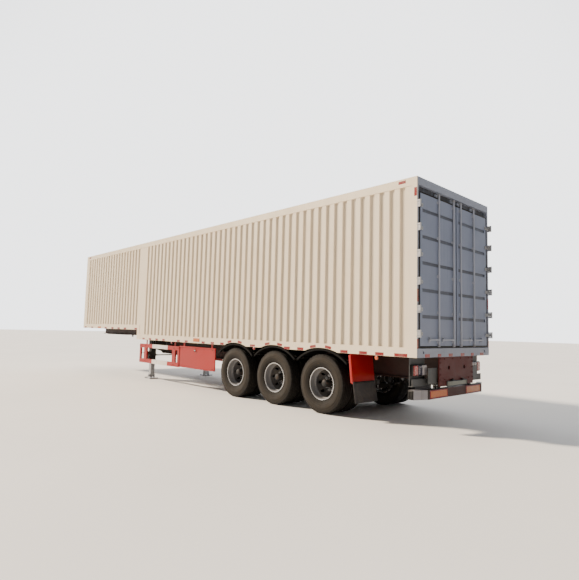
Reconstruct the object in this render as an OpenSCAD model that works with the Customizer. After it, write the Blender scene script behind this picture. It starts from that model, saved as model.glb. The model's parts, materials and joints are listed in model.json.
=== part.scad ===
// Box semi trailer: a stepped, corrugated box body on a gooseneck chassis with three twin-tyred axles.
// X runs forward, Y to the left and Z up. The origin is on the ground under the middle of the trailer.
// Lengths named d are measured forward from the rear face of the body, and dimensions are millimetres.

/* [Box body] */
// Length of the body over its end frames
body_length = 13750; // [13650:10:13850]
// Width over the rails
body_width = 2526; // [2500:2:2576]
// How far hinges and lamps stand out past the rails on each side
side_proud = 12; // [8:1:16]
// Height of the top of the body above the ground
body_height = 4000; // [3900:10:4100]
// Height of the main loading floor above the ground
floor_height = 1280; // [1270:5:1300]
// Rise of the floor over the gooseneck
step_rise = 280; // [270:5:300]
// Distance from the rear face to the step
step_distance = 9470; // [9460:5:9490]
// Height of the bottom rails
bottom_rail_height = 150; // [140:5:160]
// Height of the top rails
top_rail_height = 138; // [120:2:160]
// Thickness of a side wall over its ribs
wall_thickness = 47; // [42:1:55]
// Depth of the grooves in the walls
groove_depth = 30; // [10:1:34]
// Distance between wall grooves
groove_pitch = 202.2; // [201:0.1:203]
// Thickness of the floor planks
plank_thickness = 30; // [20:1:40]

/* [Rear doors] */
// Thickness of a door leaf
leaf_thickness = 50; // [40:1:54]
// Gap between the two leaves
centre_gap = 25; // [20:1:40]
// Distance of the hinge pins behind the rear face
pin_setback = 60; // [58:1:66]
// Radius of a hinge knuckle
knuckle_radius = 14; // [12:0.5:16]
// Radius of a hinge pin
pin_radius = 8; // [6:0.5:9]
// Radius of a lock rod
rod_radius = 15; // [12:0.5:15]

/* [Running gear] */
// Distance from the rear face to the rear axle
rear_axle = 2020; // [2000:5:2040]
// Distance between axles
axle_spacing = 1310; // [1300:5:1320]
// Outer radius of a tyre
tyre_radius = 540; // [530:1:545]
// Width of a tyre
tyre_width = 290; // [270:1:300]
// Distance between the middles of twin tyres
twin_spacing = 340; // [330:1:350]
// Track, between the middles of the twin pairs
track = 1860; // [1850:1:1870]
// Radius of a rim over its flanges
rim_radius = 298; // [294:1:300]
// Radius of an axle stub
stub_radius = 50; // [40:1:55]

/* [Chassis] */
// Distance between the two main beams
beam_spacing = 1000; // [980:5:1020]
// Width of a beam flange
flange_width = 140; // [120:5:150]
// Height of the underside of the main beams
beam_bottom = 730; // [720:5:740]
// Height of the underside of the coupler plate
coupler_height = 1210; // [1205:1:1215]
// Distance from the rear face to the kingpin
kingpin_distance = 12400; // [12200:10:12600]
// Distance from the rear face to the landing legs
leg_distance = 9040; // [9020:5:9060]
// Distance between the two landing legs
leg_spacing = 1900; // [1860:10:1940]

/* [Hidden] */
$fn = 64;
large_fn = 300;

body_cream = [0.90, 0.85, 0.76];
door_grey = [0.52, 0.55, 0.60];
chassis_black = [0.10, 0.10, 0.11];
guard_red = [0.72, 0.10, 0.08];
plate_red = [0.36, 0.07, 0.06];
steel_grey = [0.55, 0.56, 0.58];
rubber_black = [0.07, 0.065, 0.06];

half_w = body_width / 2;
wall_out = half_w - 6;
wall_in = wall_out - wall_thickness;
floor_edge = half_w - 60;
rail_bottom = floor_height - bottom_rail_height;
front_floor = floor_height + step_rise;
front_rail_bottom = front_floor - bottom_rail_height;
rail_top_z = body_height - top_rail_height;
step_web = 150;
rail_plate = 8;
end_reach = pin_setback + knuckle_radius;
frame_depth = 100;
jamb_d = leaf_thickness + 8;
front_post_d = body_length - 250;
front_wall_d = body_length - 50;

groove_first = 276.5;
groove_last = 65;
groove_skip = [44, 45];
groove_half_top = 51;
groove_half_floor = 29;

post_in = half_w - 40;
jamb_in = half_w - 85;
leaf_edge = half_w - 95;
leaf_bottom = floor_height + 32;
header_bottom = body_height - 243;
leaf_top = header_bottom - 12;
sill_top = floor_height - 8;
pin_y = half_w + side_proud - knuckle_radius;
pin_d = -pin_setback;
hinge_z = [1503, 1884, 2320, 2757, 3176, 3552];
door_band_z = [1773, 2191, 2625, 3046, 3474];
rod_y = [130, 625];
rod_proud = 22;
rod_bottom = leaf_bottom - 20;
rod_top = header_bottom + 83;
handle_z = 1410;

axle_d = [rear_axle, rear_axle + axle_spacing, rear_axle + 2 * axle_spacing];
axle_z = tyre_radius;
twin_y = track / 2;
beam_y = beam_spacing / 2;
beam_in = beam_y - flange_width / 2;
beam_out = beam_y + flange_width / 2;
flange_t = 16;
beam_front = body_length - 150;
hanger_d = [for (i = [0:3]) rear_axle + (i - 0.5) * axle_spacing];
leg_y = leg_spacing / 2;

module block(d0, d1, y0, y1, z0, z1)
    translate([d0 - body_length / 2, y0, z0]) cube([d1 - d0, y1 - y0, z1 - z0]);

module at(d, y, z) translate([d - body_length / 2, y, z]) children();

module both_sides() {
    children();
    mirror([0, 1, 0]) children();
}

// A shape drawn as distance forward against height, made solid from y0 to y1
module side_shape(y0, y1)
    translate([-body_length / 2, y1, 0]) rotate([90, 0, 0]) linear_extrude(y1 - y0) children();

// A shape drawn as distance forward against width, made solid from z0 to z1
module plan_shape(z0, z1)
    translate([-body_length / 2, 0, z0]) linear_extrude(z1 - z0) children();

// A cylinder across the trailer
module cross_rod(d, z, r, y0, y1)
    at(d, y0, z) rotate([-90, 0, 0]) cylinder(h = y1 - y0, r = r, $fn = r > 500 ? large_fn : $fn);

// ---- box body ----

module floor_deck() {
    color("sienna") side_shape(-floor_edge, floor_edge) polygon([
        [frame_depth, floor_height - plank_thickness],
        [step_distance, floor_height - plank_thickness],
        [step_distance, front_floor - plank_thickness],
        [front_wall_d, front_floor - plank_thickness],
        [front_wall_d, front_floor],
        [step_distance - plank_thickness, front_floor],
        [step_distance - plank_thickness, floor_height],
        [frame_depth, floor_height]
    ]);
}

function groove_edge(centre) = [
    [centre - groove_half_top, wall_out],
    [centre - groove_half_floor, wall_out - groove_depth],
    [centre + groove_half_floor, wall_out - groove_depth],
    [centre + groove_half_top, wall_out]
];

wall_outline = concat(
    [[frame_depth, wall_in], [frame_depth, wall_out]],
    [for (n = [0:groove_last]) if (len(search(n, groove_skip)) == 0)
        for (p = groove_edge(groove_first + n * groove_pitch)) p],
    [[front_post_d, wall_out], [front_post_d, wall_in]]
);

module side_wall() {
    color(body_cream) difference() {
        plan_shape(floor_height, rail_top_z) polygon(wall_outline);
        block(step_distance - step_web, body_length, 0, body_width, 0, front_floor);
    }
}

module left_side_wall() side_wall();
module right_side_wall() mirror([0, 1, 0]) side_wall();

front_ribs = 11;
front_rib_pitch = 200;

function front_groove(centre) = [
    [body_length - 6, centre - groove_half_top],
    [body_length - 6 - groove_depth, centre - groove_half_floor],
    [body_length - 6 - groove_depth, centre + groove_half_floor],
    [body_length - 6, centre + groove_half_top]
];

module front_wall() {
    color(body_cream) plan_shape(front_floor, rail_top_z) polygon(concat(
        [[front_wall_d, -floor_edge], [body_length - 6, -floor_edge]],
        [for (n = [0:front_ribs - 1]) for (p = front_groove((n - (front_ribs - 1) / 2) * front_rib_pitch)) p],
        [[body_length - 6, floor_edge], [front_wall_d, floor_edge]]
    ));
}

roof_rib_pitch = 250;
roof_ribs = 53;
roof_rib_rise = 12;
roof_sheet = 14;
roof_top = body_height - 6;

function roof_rib(centre, z) = [
    [centre - 60, z], [centre - 40, z + roof_rib_rise], [centre + 40, z + roof_rib_rise], [centre + 60, z]
];

// Ribbed sheet between the top rails, with the ribs across the trailer
module roof_panel() {
    rib_d = [for (n = [0:roof_ribs - 1]) body_length / 2 + (n - (roof_ribs - 1) / 2) * roof_rib_pitch];
    top = [for (c = rib_d) for (p = roof_rib(c, roof_top - roof_rib_rise)) p];
    under = [for (c = rib_d) for (p = roof_rib(c, roof_top - roof_rib_rise - roof_sheet)) p];
    start = frame_depth;
    end = front_wall_d;
    color(body_cream) side_shape(-half_w + 40, half_w - 40) polygon(concat(
        [[start, roof_top - roof_rib_rise]], top, [[end, roof_top - roof_rib_rise]],
        [[end, roof_top - roof_rib_rise - roof_sheet]],
        [for (i = [len(under) - 1:-1:0]) under[i]],
        [[start, roof_top - roof_rib_rise - roof_sheet]]
    ));
}

module top_rails() {
    color(body_cream) {
        both_sides() block(frame_depth, body_length, half_w - 40, half_w, rail_top_z, body_height);
        block(front_wall_d, body_length, -half_w, half_w, rail_top_z, body_height);
    }
}

arch_half_chord = 410;
arch_rise = 70;
arch_radius = (arch_half_chord * arch_half_chord + arch_rise * arch_rise) / (2 * arch_rise);

module rail_outline(inset) {
    polygon([
        [frame_depth, rail_bottom + inset], [step_distance - inset, rail_bottom + inset],
        [step_distance - inset, front_rail_bottom + inset], [body_length, front_rail_bottom + inset],
        [body_length, front_floor - inset], [step_distance - step_web + inset, front_floor - inset],
        [step_distance - step_web + inset, floor_height - inset], [frame_depth, floor_height - inset]
    ]);
}

// Channels open towards the floor, stepped at the gooseneck and arched over the wheels
module bottom_rails() {
    color(body_cream) {
        both_sides() difference() {
            side_shape(floor_edge, half_w) rail_outline(0);
            side_shape(floor_edge - 1, half_w - rail_plate) rail_outline(rail_plate);
            for (d = axle_d)
                cross_rod(d, rail_bottom + arch_rise - arch_radius, arch_radius, floor_edge - 1, half_w + 1);
        }
        block(front_wall_d, body_length, -floor_edge, floor_edge, front_rail_bottom, front_floor);
    }
}

module front_posts() {
    color(body_cream) both_sides() difference() {
        block(front_post_d, body_length, floor_edge, half_w, front_floor, rail_top_z);
        block(front_post_d - 1, front_wall_d, floor_edge - 1, half_w - rail_plate, 0, body_height);
    }
}

// ---- rear frame and doors ----

keeper_w = 60;
buffer_radius = 22;
buffer_y = 1070;
buffer_z = rail_bottom + 80;

module rear_frame() {
    color(door_grey) difference() {
        union() {
            both_sides() {
                block(0, frame_depth, post_in, half_w, rail_bottom, body_height);
                block(jamb_d, frame_depth, jamb_in, half_w, sill_top, body_height);
            }
            block(0, frame_depth, -half_w, half_w, header_bottom + 113, body_height);
            block(jamb_d, frame_depth, -half_w, half_w, header_bottom, body_height);
            block(0, frame_depth, -half_w, half_w, rail_bottom, sill_top);
            block(jamb_d, frame_depth, -half_w, half_w, rail_bottom, floor_height);
            both_sides() for (y = rod_y) {
                block(jamb_d - 32, jamb_d + 1, y - keeper_w / 2, y + keeper_w / 2,
                    header_bottom + 30, header_bottom + 80);
            }
        }
        both_sides() at(-1, buffer_y, buffer_z) rotate([0, 90, 0]) cylinder(h = 41, r = buffer_radius);
    }
}

lug_h = 26;
blade_h = 60;
hinge_gap = 1;

module hinge_lugs() {
    color(steel_grey) both_sides() for (z = hinge_z) {
        for (side = [-1, 1]) {
            lug_z = z + side * (blade_h / 2 + hinge_gap + lug_h / 2);
            at(pin_d, pin_y, lug_z - lug_h / 2) cylinder(h = lug_h, r = knuckle_radius);
            block(pin_d, 0, pin_y - knuckle_radius, pin_y + knuckle_radius, lug_z - lug_h / 2, lug_z + lug_h / 2);
        }
        at(pin_d, pin_y, z - blade_h / 2 - hinge_gap - lug_h)
            cylinder(h = blade_h + 2 * (hinge_gap + lug_h), r = pin_radius);
    }
}

band_half = 28;
band_depth = 16;
band_margin = 90;
panel_margin = 60;

// A leaf drawn for the left side, with its hinge edge outboard
module door_leaf() {
    inner = centre_gap / 2;
    color(door_grey) difference() {
        block(0, leaf_thickness, inner, leaf_edge, leaf_bottom, leaf_top);
        for (z = door_band_z)
            block(-1, band_depth, inner + panel_margin, leaf_edge - panel_margin, z - band_half, z + band_half);
    }
}

strap_start = half_w - 153;
strap_t = 12;
strap_h = 56;
running_gap = 0.08;

module door_hinges() {
    color(steel_grey) for (z = hinge_z) difference() {
        union() {
            block(-strap_t, 0, strap_start, leaf_edge, z - strap_h / 2, z + strap_h / 2);
            block(-strap_t, -strap_t / 2, leaf_edge - 1, pin_y, z - strap_h / 2, z + strap_h / 2);
            block(pin_d, -strap_t / 2, pin_y - knuckle_radius, pin_y + knuckle_radius / 2,
                z - strap_h / 2, z + strap_h / 2);
            at(pin_d, pin_y, z - blade_h / 2) cylinder(h = blade_h, r = knuckle_radius);
        }
        at(pin_d, pin_y, z - blade_h) cylinder(h = 2 * blade_h, r = pin_radius + running_gap);
    }
}

guide_z = [leaf_bottom + 60, handle_z + 440, 2450, 3080, leaf_top - 60];
handle_len = [400, 330];

// Two lock rods with cams, guides and handles; the rods stand clear of the leaf on the guides
module lock_rods() {
    color(steel_grey) for (i = [0, 1]) {
        y = rod_y[i];
        catch_y = y + handle_len[i] - 45;
        at(-rod_proud, y, rod_bottom) cylinder(h = rod_top - rod_bottom, r = rod_radius);
        for (z = guide_z) block(-rod_proud - rod_radius - 3, 0, y - 28, y + 28, z - 22, z + 22);
        for (z = [rod_bottom, rod_top - 40])
            block(-rod_proud - rod_radius, 0, y - rod_radius - 8, y + rod_radius + 8, z, z + 40);
        block(-rod_proud - 14, -rod_proud - 4, y, y + handle_len[i], handle_z - 14, handle_z + 14);
        block(-rod_proud - 4, 0, catch_y - 15, catch_y + 15, handle_z - 30, handle_z + 30);
    }
}

module left_rear_door() door_leaf();
module right_rear_door() mirror([0, 1, 0]) door_leaf();
module left_door_hinges() door_hinges();
module right_door_hinges() mirror([0, 1, 0]) door_hinges();
module left_lock_rods() lock_rods();
module right_lock_rods() mirror([0, 1, 0]) lock_rods();

// ---- chassis ----

web_t = 10;
plate_t = 20;
neck_bottom = coupler_height + 10;
slope_start = step_distance - 330;
slope_end = step_distance + 400;
slope_angle = atan2(neck_bottom - beam_bottom, slope_end - slope_start);
mitre = flange_t * tan(slope_angle / 2);

module main_beams() {
    color(guard_red * 0.45) both_sides() {
        side_shape(beam_y - web_t / 2, beam_y + web_t / 2) polygon([
            [plate_t, beam_bottom], [slope_start, beam_bottom], [slope_end, neck_bottom],
            [beam_front, neck_bottom], [beam_front, front_rail_bottom], [step_distance, front_rail_bottom],
            [step_distance, rail_bottom], [plate_t, rail_bottom]
        ]);
        // Top flange with its riser at the step, then the bottom flange with its slope
        side_shape(beam_in, beam_out) polygon([
            [plate_t, rail_bottom], [step_distance, rail_bottom], [step_distance, front_rail_bottom],
            [beam_front, front_rail_bottom], [beam_front, front_rail_bottom - flange_t],
            [step_distance + flange_t, front_rail_bottom - flange_t],
            [step_distance + flange_t, rail_bottom - flange_t], [plate_t, rail_bottom - flange_t]
        ]);
        side_shape(beam_in, beam_out) polygon([
            [plate_t, beam_bottom], [slope_start, beam_bottom], [slope_end, neck_bottom],
            [beam_front, neck_bottom], [beam_front, neck_bottom + flange_t],
            [slope_end - mitre, neck_bottom + flange_t], [slope_start - mitre, beam_bottom + flange_t],
            [plate_t, beam_bottom + flange_t]
        ]);
    }
}

member_width = 60;
member_t = 7;
member_pitch = 405;
wheel_clear = 400;

// An I section across the trailer
module member(d, reach, z0, z1) {
    block(d - member_width / 2, d + member_width / 2, -reach, reach, z0, z0 + member_t);
    block(d - member_width / 2, d + member_width / 2, -reach, reach, z1 - member_t, z1);
    block(d - member_t / 2, d + member_t / 2, -reach, reach, z0, z1);
}

function near_wheel(d) = min([for (a = axle_d) abs(d - a)]) < wheel_clear;

module cross_members() {
    color(chassis_black) {
        for (d = [frame_depth + 260:member_pitch:step_distance - 200])
            member(d, near_wheel(d) ? beam_out : floor_edge, rail_bottom, floor_height - plank_thickness);
        for (d = [step_distance + 130:member_pitch:front_wall_d - 60])
            member(d, floor_edge, front_rail_bottom, front_floor - plank_thickness);
    }
}

coupler_half_w = 620;
coupler_half_l = 750;
pin_collar_r = 36.5;
pin_neck_r = 25.4;
pin_foot_r = 35.75;
pin_drop = 84;
pin_foot_h = 14;
pin_collar_h = 35;
pin_base_r = 120;

module kingpin_plate() {
    color(chassis_black) difference() {
        block(kingpin_distance - coupler_half_l, kingpin_distance + coupler_half_l,
            -coupler_half_w, coupler_half_w, coupler_height, neck_bottom);
        at(kingpin_distance, 0, coupler_height - 1) cylinder(h = 20, r = pin_collar_r + 0.1);
    }
}

module kingpin() {
    color(steel_grey) at(kingpin_distance, 0, coupler_height) rotate_extrude() polygon([
        [0, -pin_drop], [pin_foot_r, -pin_drop], [pin_foot_r, pin_foot_h - pin_drop],
        [pin_neck_r, pin_foot_h - pin_drop], [pin_neck_r, -pin_collar_h], [pin_collar_r, -pin_collar_h],
        [pin_collar_r, 10], [pin_base_r, 10], [pin_base_r, 30], [0, 30]
    ]);
}

leg_tube = 150;
leg_inner = 120;
leg_top = rail_bottom;
leg_tube_bottom = 470;
foot_l = 320;
foot_w = 260;
foot_t = 16;

module tube(d, y, z0, z1, side, wall) {
    difference() {
        block(d - side / 2, d + side / 2, y - side / 2, y + side / 2, z0, z1);
        block(d - side / 2 + wall, d + side / 2 - wall, y - side / 2 + wall, y + side / 2 - wall, z0 - 1, z1 - wall);
    }
}

brace_y = beam_out;
brace_t = 12;

module landing_legs() {
    color(chassis_black) both_sides() {
        tube(leg_distance, leg_y, leg_tube_bottom, leg_top, leg_tube, 8);
        // Gusset plate out to the leg from the web side of the beam
        for (d = [leg_distance - leg_tube / 2 - brace_t, leg_distance + leg_tube / 2])
            translate([d - body_length / 2, 0, 0]) rotate([90, 0, 90]) linear_extrude(brace_t) polygon([
                [brace_y, leg_top - 16], [leg_y + leg_tube / 2, leg_top - 16],
                [leg_y + leg_tube / 2, leg_top - 260], [leg_y - leg_tube / 2, leg_top - 260],
                [brace_y, beam_bottom + 40]
            ]);
    }
}

module landing_feet() {
    color(steel_grey) both_sides() {
        block(leg_distance - leg_inner / 2, leg_distance + leg_inner / 2,
            leg_y - leg_inner / 2, leg_y + leg_inner / 2, foot_t + 40, leg_top - 200);
        block(leg_distance - foot_l / 2, leg_distance + foot_l / 2, leg_y - foot_w / 2, leg_y + foot_w / 2, 0, foot_t);
        for (side = [-1, 1])
            block(leg_distance - 60, leg_distance + 60, leg_y + side * 72 - 6, leg_y + side * 72 + 6, foot_t - 1, foot_t + 120);
        cross_rod(leg_distance, foot_t + 80, 16, leg_y - 95, leg_y + 95);
    }
}

gear_z = 680;

module landing_gearbox() {
    color(steel_grey) {
        cross_rod(leg_distance, gear_z, 17, -leg_y + leg_tube / 2, leg_y - leg_tube / 2);
        block(leg_distance - 70, leg_distance + 70, leg_y + leg_tube / 2, leg_y + leg_tube / 2 + 60, gear_z - 110, gear_z + 110);
        cross_rod(leg_distance, gear_z + 60, 12, leg_y + leg_tube / 2 + 60, leg_y + leg_tube / 2 + 110);
        block(leg_distance - 12, leg_distance + 300, leg_y + leg_tube / 2 + 98, leg_y + leg_tube / 2 + 110, gear_z + 48, gear_z + 72);
        cross_rod(leg_distance + 288, gear_z + 60, 13, leg_y + leg_tube / 2 - 20, leg_y + leg_tube / 2 + 98);
    }
}

// ---- suspension ----

spring_w = 90;
spring_top = axle_z - 78;
leaf_t = 15;
leaf_count = 6;
leaf_bend = 2000;
leaf_half = 610;
leaf_step = 85;
rocker_z = 606;

module spring_hangers() {
    color(chassis_black) both_sides() for (d = hanger_d) {
        for (side = [-1, 1])
            side_shape(beam_y + side * 54 - 6, beam_y + side * 54 + 6) polygon([
                [d - 130, beam_bottom], [d + 130, beam_bottom], [d + 60, rocker_z - 60], [d - 60, rocker_z - 60]
            ]);
        cross_rod(d, rocker_z, 24, beam_y - 62, beam_y + 62);
        block(d - 95, d + 95, beam_y - 40, beam_y + 40, rocker_z - 40, rocker_z + 40);
        block(d - 130, d + 130, beam_y - 60, beam_y + 60, beam_bottom - 14, beam_bottom);
    }
}

// A stack of curved leaves, each shorter than the one above
module leaf_springs() {
    color(chassis_black) both_sides() for (d = axle_d) for (i = [0:leaf_count - 1]) {
        reach = leaf_half - i * leaf_step;
        intersection() {
            at(d, beam_y - spring_w / 2, spring_top + leaf_bend) rotate([-90, 0, 0]) difference() {
                cylinder(h = spring_w, r = leaf_bend + (i + 1) * leaf_t, $fn = large_fn);
                translate([0, 0, -1]) cylinder(h = spring_w + 2, r = leaf_bend + i * leaf_t, $fn = large_fn);
            }
            block(d - reach, d + reach, beam_y - spring_w, beam_y + spring_w, 0, beam_bottom);
        }
    }
}

rod_out = beam_y + 104;
rod_in = beam_y + 76;
rod_seat = [100, 560];
rod_rise = rocker_z - rod_seat[1];
rod_run = axle_spacing / 2 - rod_seat[0];

// Rods that hold each axle back to the hanger ahead of it, outboard of the springs
module radius_rods() {
    color(chassis_black) both_sides() for (d = axle_d) {
        cross_rod(d + rod_seat[0], rod_seat[1], 26, rod_in, rod_out);
        cross_rod(d + rod_seat[0], rod_seat[1], 12, beam_y + 50, rod_in);
        cross_rod(d + axle_spacing / 2, rocker_z, 26, beam_y + 62, rod_out);
        at(d + rod_seat[0], (rod_in + rod_out) / 2, rod_seat[1]) rotate([0, 90 - atan2(rod_rise, rod_run), 0])
            cylinder(h = sqrt(rod_run * rod_run + rod_rise * rod_rise), r = 12);
    }
}

tube_radius = 73;
shield_y = twin_y - 270;
stub_end = twin_y + 190;

module axles() {
    color(chassis_black) for (d = axle_d) {
        cross_rod(d, axle_z, tube_radius, -twin_y + 160, twin_y - 160);
        cross_rod(d, axle_z, stub_radius, -stub_end, stub_end);
        both_sides() {
            cross_rod(d, axle_z, 195, shield_y, shield_y + 10);
            block(d - 85, d + 85, beam_y - 50, beam_y + 50, spring_top + 2, axle_z + 85);
            block(d + 80, d + 125, beam_y + 40, beam_y + 50, rod_seat[1] - 25, rod_seat[1] + 25);
        }
    }
}

chamber_y = 300;
cam_offset = 125;

module brake_chambers() {
    color(steel_grey * 0.5) both_sides() for (d = axle_d) {
        at(d - cam_offset - 330, chamber_y, axle_z + 60) rotate([0, 90, 0]) cylinder(h = 150, r = 80);
        at(d - cam_offset - 190, chamber_y, axle_z + 60) rotate([0, 90, 0]) cylinder(h = 190, r = 12);
        difference() {
            block(d - cam_offset - 181, d - 40, chamber_y - 8, chamber_y + 8, axle_z - 30, axle_z + 50);
            cross_rod(d, axle_z, tube_radius + 0.3, 0, chamber_y + 20);
        }
        cross_rod(d - cam_offset, axle_z + 30, 22, chamber_y - 30, shield_y);
    }
}

tank_d = [for (n = [18, 19]) frame_depth + 260 + n * member_pitch];
tank_r = 150;
tank_z = rail_bottom - 190;

module air_tanks() {
    color(chassis_black) for (d = tank_d) {
        cross_rod(d, tank_z, tank_r, -beam_in + 60, beam_in - 60);
        for (y = [-220, 220]) {
            cross_rod(d, tank_z, tank_r + 6, y - 20, y + 20);
            block(d - 25, d + 25, y - 20, y + 20, tank_z + tank_r - 10, rail_bottom);
        }
    }
}

guard_radius = 985;
guard_centre_z = 200;
guard_half = 620;
guard_t = 5;
guard_in = 600;
guard_lip = 34;
guard_arm_d = 560;
guard_arm_z = guard_centre_z + sqrt(pow(guard_radius - guard_t, 2) - pow(guard_arm_d, 2)) - 12;

// Rolled sheet with a turned-down lip, each on two round arms from the web of the beam
module mudguards() {
    color(chassis_black) both_sides() for (d = axle_d) {
        intersection() {
            union() {
                difference() {
                    cross_rod(d, guard_centre_z, guard_radius, guard_in, half_w - 8);
                    cross_rod(d, guard_centre_z, guard_radius - guard_t, guard_in - 1, half_w + 1);
                }
                difference() {
                    cross_rod(d, guard_centre_z, guard_radius, half_w - 14, half_w - 8);
                    cross_rod(d, guard_centre_z, guard_radius - guard_lip, half_w - 20, half_w + 1);
                }
            }
            block(d - guard_half, d + guard_half, 0, body_width, guard_centre_z + guard_radius / 2, body_height);
        }
        for (side = [-1, 1])
            cross_rod(d + side * guard_arm_d, guard_arm_z, 15, beam_y + web_t / 2, half_w - 20);
    }
}

flap_in = 630;
flap_out = half_w - 8;
flap_joint = 610;
flap_bottom = 280;
flap_top_d = 1320;
flap_joint_d = 1260;
flap_bottom_d = 1205;

module splash_plates() {
    color(guard_red) both_sides() side_shape(flap_in, flap_out) polygon([
        [flap_top_d, rail_bottom], [flap_joint_d, flap_joint],
        [flap_joint_d - 8, flap_joint], [flap_top_d - 8, rail_bottom]
    ]);
}

module mud_flaps() {
    lap = 40;
    lean = (flap_top_d - flap_joint_d) / (rail_bottom - flap_joint);
    color(rubber_black * 3) both_sides() side_shape(flap_in, flap_out) polygon([
        [flap_joint_d - 9 + lap * lean, flap_joint + lap], [flap_joint_d - 19 + lap * lean, flap_joint + lap],
        [flap_bottom_d - 19, flap_bottom], [flap_bottom_d - 9, flap_bottom]
    ]);
}

// ---- guards, lamps and plates ----

guard_y0 = 1196;
guard_y1 = 1236;
guard_z0 = 474;
guard_z1 = 1010;
guard_rail = 104;
guard_d = [7050, 9280];
guard_gaps = [[7140, 7257], [7415, 8850], [9010, 9200]];
guard_bars = [7336, 8930];
panel_bars = [5600, 6860];

// Flat bar behind a guard, with a foot under the bottom rail; y is its outer face
module guard_bar(d, y, z0) {
    block(d - 30, d + 30, y - 12, y, z0, rail_bottom);
    block(d - 30, d + 30, y - 12, half_w - 15, rail_bottom - 10, rail_bottom);
}

module side_guards() {
    color(guard_red) both_sides() {
        difference() {
            block(guard_d[0], guard_d[1], guard_y0, guard_y1, guard_z0, guard_z1);
            for (gap = guard_gaps)
                block(gap[0], gap[1], guard_y0 - 1, guard_y1 + 1, guard_z0 + guard_rail + 10, guard_z1 - guard_rail);
        }
        for (d = guard_bars) guard_bar(d, guard_y0, guard_z0 + 40);
    }
}

panel_d = [5430, 7040];
panel_z = [490, 1030];

module side_guard_panels() {
    color(guard_red) both_sides() {
        block(panel_d[0], panel_d[1], guard_y0 + 10, guard_y0 + 30, panel_z[0], panel_z[1]);
        for (d = panel_bars) guard_bar(d, guard_y0 + 10, panel_z[0] + 40);
    }
}

bar_z = [470, 620];
bar_depth = 100;
bar_straight = 930;
bar_reach = 1180;
bar_sweep = 110;
arm_w = 60;

module underrun_guard() {
    color(chassis_black) {
        plan_shape(bar_z[0], bar_z[1]) polygon([
            [0, -bar_straight], [0, bar_straight], [bar_sweep, bar_reach], [bar_sweep + bar_depth, bar_reach],
            [bar_depth, bar_straight], [bar_depth, -bar_straight],
            [bar_sweep + bar_depth, -bar_reach], [bar_sweep, -bar_reach]
        ]);
        both_sides() block(plate_t + 10, plate_t + 110, beam_out - 8 - arm_w, beam_out - 8, bar_z[1], beam_bottom);
    }
}

plate_half = 590;
plate_z = [650, rail_bottom];
plate_hole_y = 270;
plate_hole_z = 950;

module rear_plate() {
    color(plate_red) difference() {
        block(0, plate_t, -plate_half, plate_half, plate_z[0], plate_z[1]);
        both_sides() at(-1, plate_hole_y, plate_hole_z) rotate([0, 90, 0]) cylinder(h = plate_t + 2, r = 35);
    }
}

lamp_y = [760, 1150];
lamp_z = [830, 1010];
lamp_d = [120, 190];

carrier_z = [670, 785];

// Plates that hang the lamps and a channel under them from the sill and the beam
module lamp_brackets() {
    color(steel_grey) both_sides() {
        block(lamp_d[1], lamp_d[1] + 8, lamp_y[0] - 40, lamp_y[1] + 20, carrier_z[0], rail_bottom);
        block(frame_depth - 40, lamp_d[1] + 8, lamp_y[0] - 40, lamp_y[1] + 20, rail_bottom - 8, rail_bottom);
        block(lamp_d[1] - 60, lamp_d[1] + 8, beam_out + 20, lamp_y[1] + 40, carrier_z[0], carrier_z[0] + 8);
        block(lamp_d[1] - 60, lamp_d[1] - 52, beam_out + 20, lamp_y[1] + 40, carrier_z[0], carrier_z[1]);
        block(50, 58, beam_out + 5, lamp_y[0] + 90, carrier_z[0] + 30, lamp_z[1] - 55);
        block(50, lamp_d[1] - 52, beam_out + 20, beam_out + 28, carrier_z[0], carrier_z[1]);
    }
}

module tail_lamps() {
    color("darkred") both_sides()
        block(lamp_d[0], lamp_d[1], lamp_y[0], lamp_y[1], lamp_z[0], lamp_z[1]);
}

marker_y = [320, 880];
marker_z = [478, 612];

module marker_plates() {
    color("orange") both_sides() block(-4, 0, marker_y[0], marker_y[1], marker_z[0], marker_z[1]);
}

coupling_z = 1760;
gladhand_y = [-420, 420];
socket_y = [-180, 0, 180];

module coupling_panel() {
    color(steel_grey) {
        block(body_length - 6, body_length, -520, 520, coupling_z - 90, coupling_z + 90);
        for (y = gladhand_y) {
            block(body_length - 1, body_length + end_reach, y - 22, y + 22, coupling_z - 30, coupling_z + 30);
            at(body_length + end_reach - 24, y, coupling_z - 48) cylinder(h = 96, r = 24);
        }
        for (y = socket_y) at(body_length - 1, y, coupling_z) rotate([0, 90, 0]) cylinder(h = end_reach - 10, r = 38);
    }
}

// ---- wheels ----
// Drawn with their axis along Z and Z = 0 at the face where the twin rims meet, the outboard side up

side_bulge = 47;
bead_half = tyre_width / 2 - side_bulge;
bead_r = rim_radius - 12;
shoulder_r = tyre_radius - 16;
shoulder_half = tyre_width / 2 - 16;
sidewall = [for (t = [0:1 / 8:0.875])
    [bead_r + t * (shoulder_r - bead_r), bead_half + side_bulge * sin(t * 150)]];

module tyre(middle) {
    outer = concat(sidewall, [[shoulder_r, shoulder_half], [tyre_radius, shoulder_half - 14]]);
    translate([0, 0, middle]) rotate_extrude($fn = 96) polygon(concat(
        outer, [for (i = [len(outer) - 1:-1:0]) [outer[i][0], -outer[i][1]]]
    ));
}

rim_in = twin_spacing / 2 - 115;
rim_out = twin_spacing / 2 + 115;
disc_t = 14;
stud_ring = 190;

module rim_shell() {
    rotate_extrude($fn = 96) polygon([
        [rim_radius, rim_in], [rim_radius, rim_in + 10], [bead_r, rim_in + 13], [bead_r, rim_in + 45],
        [262, rim_in + 60], [262, rim_in + 105], [bead_r, rim_in + 135], [bead_r, rim_out - 13],
        [rim_radius, rim_out - 10], [rim_radius, rim_out], [278, rim_out], [278, rim_in + 133],
        [254, rim_in + 107], [254, 140], [198, 34], [172, disc_t], [88, disc_t],
        [88, 0], [178, 0], [212, 22], [252, rim_in + 56], [278, rim_in + 42], [278, rim_in]
    ]);
}

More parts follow.
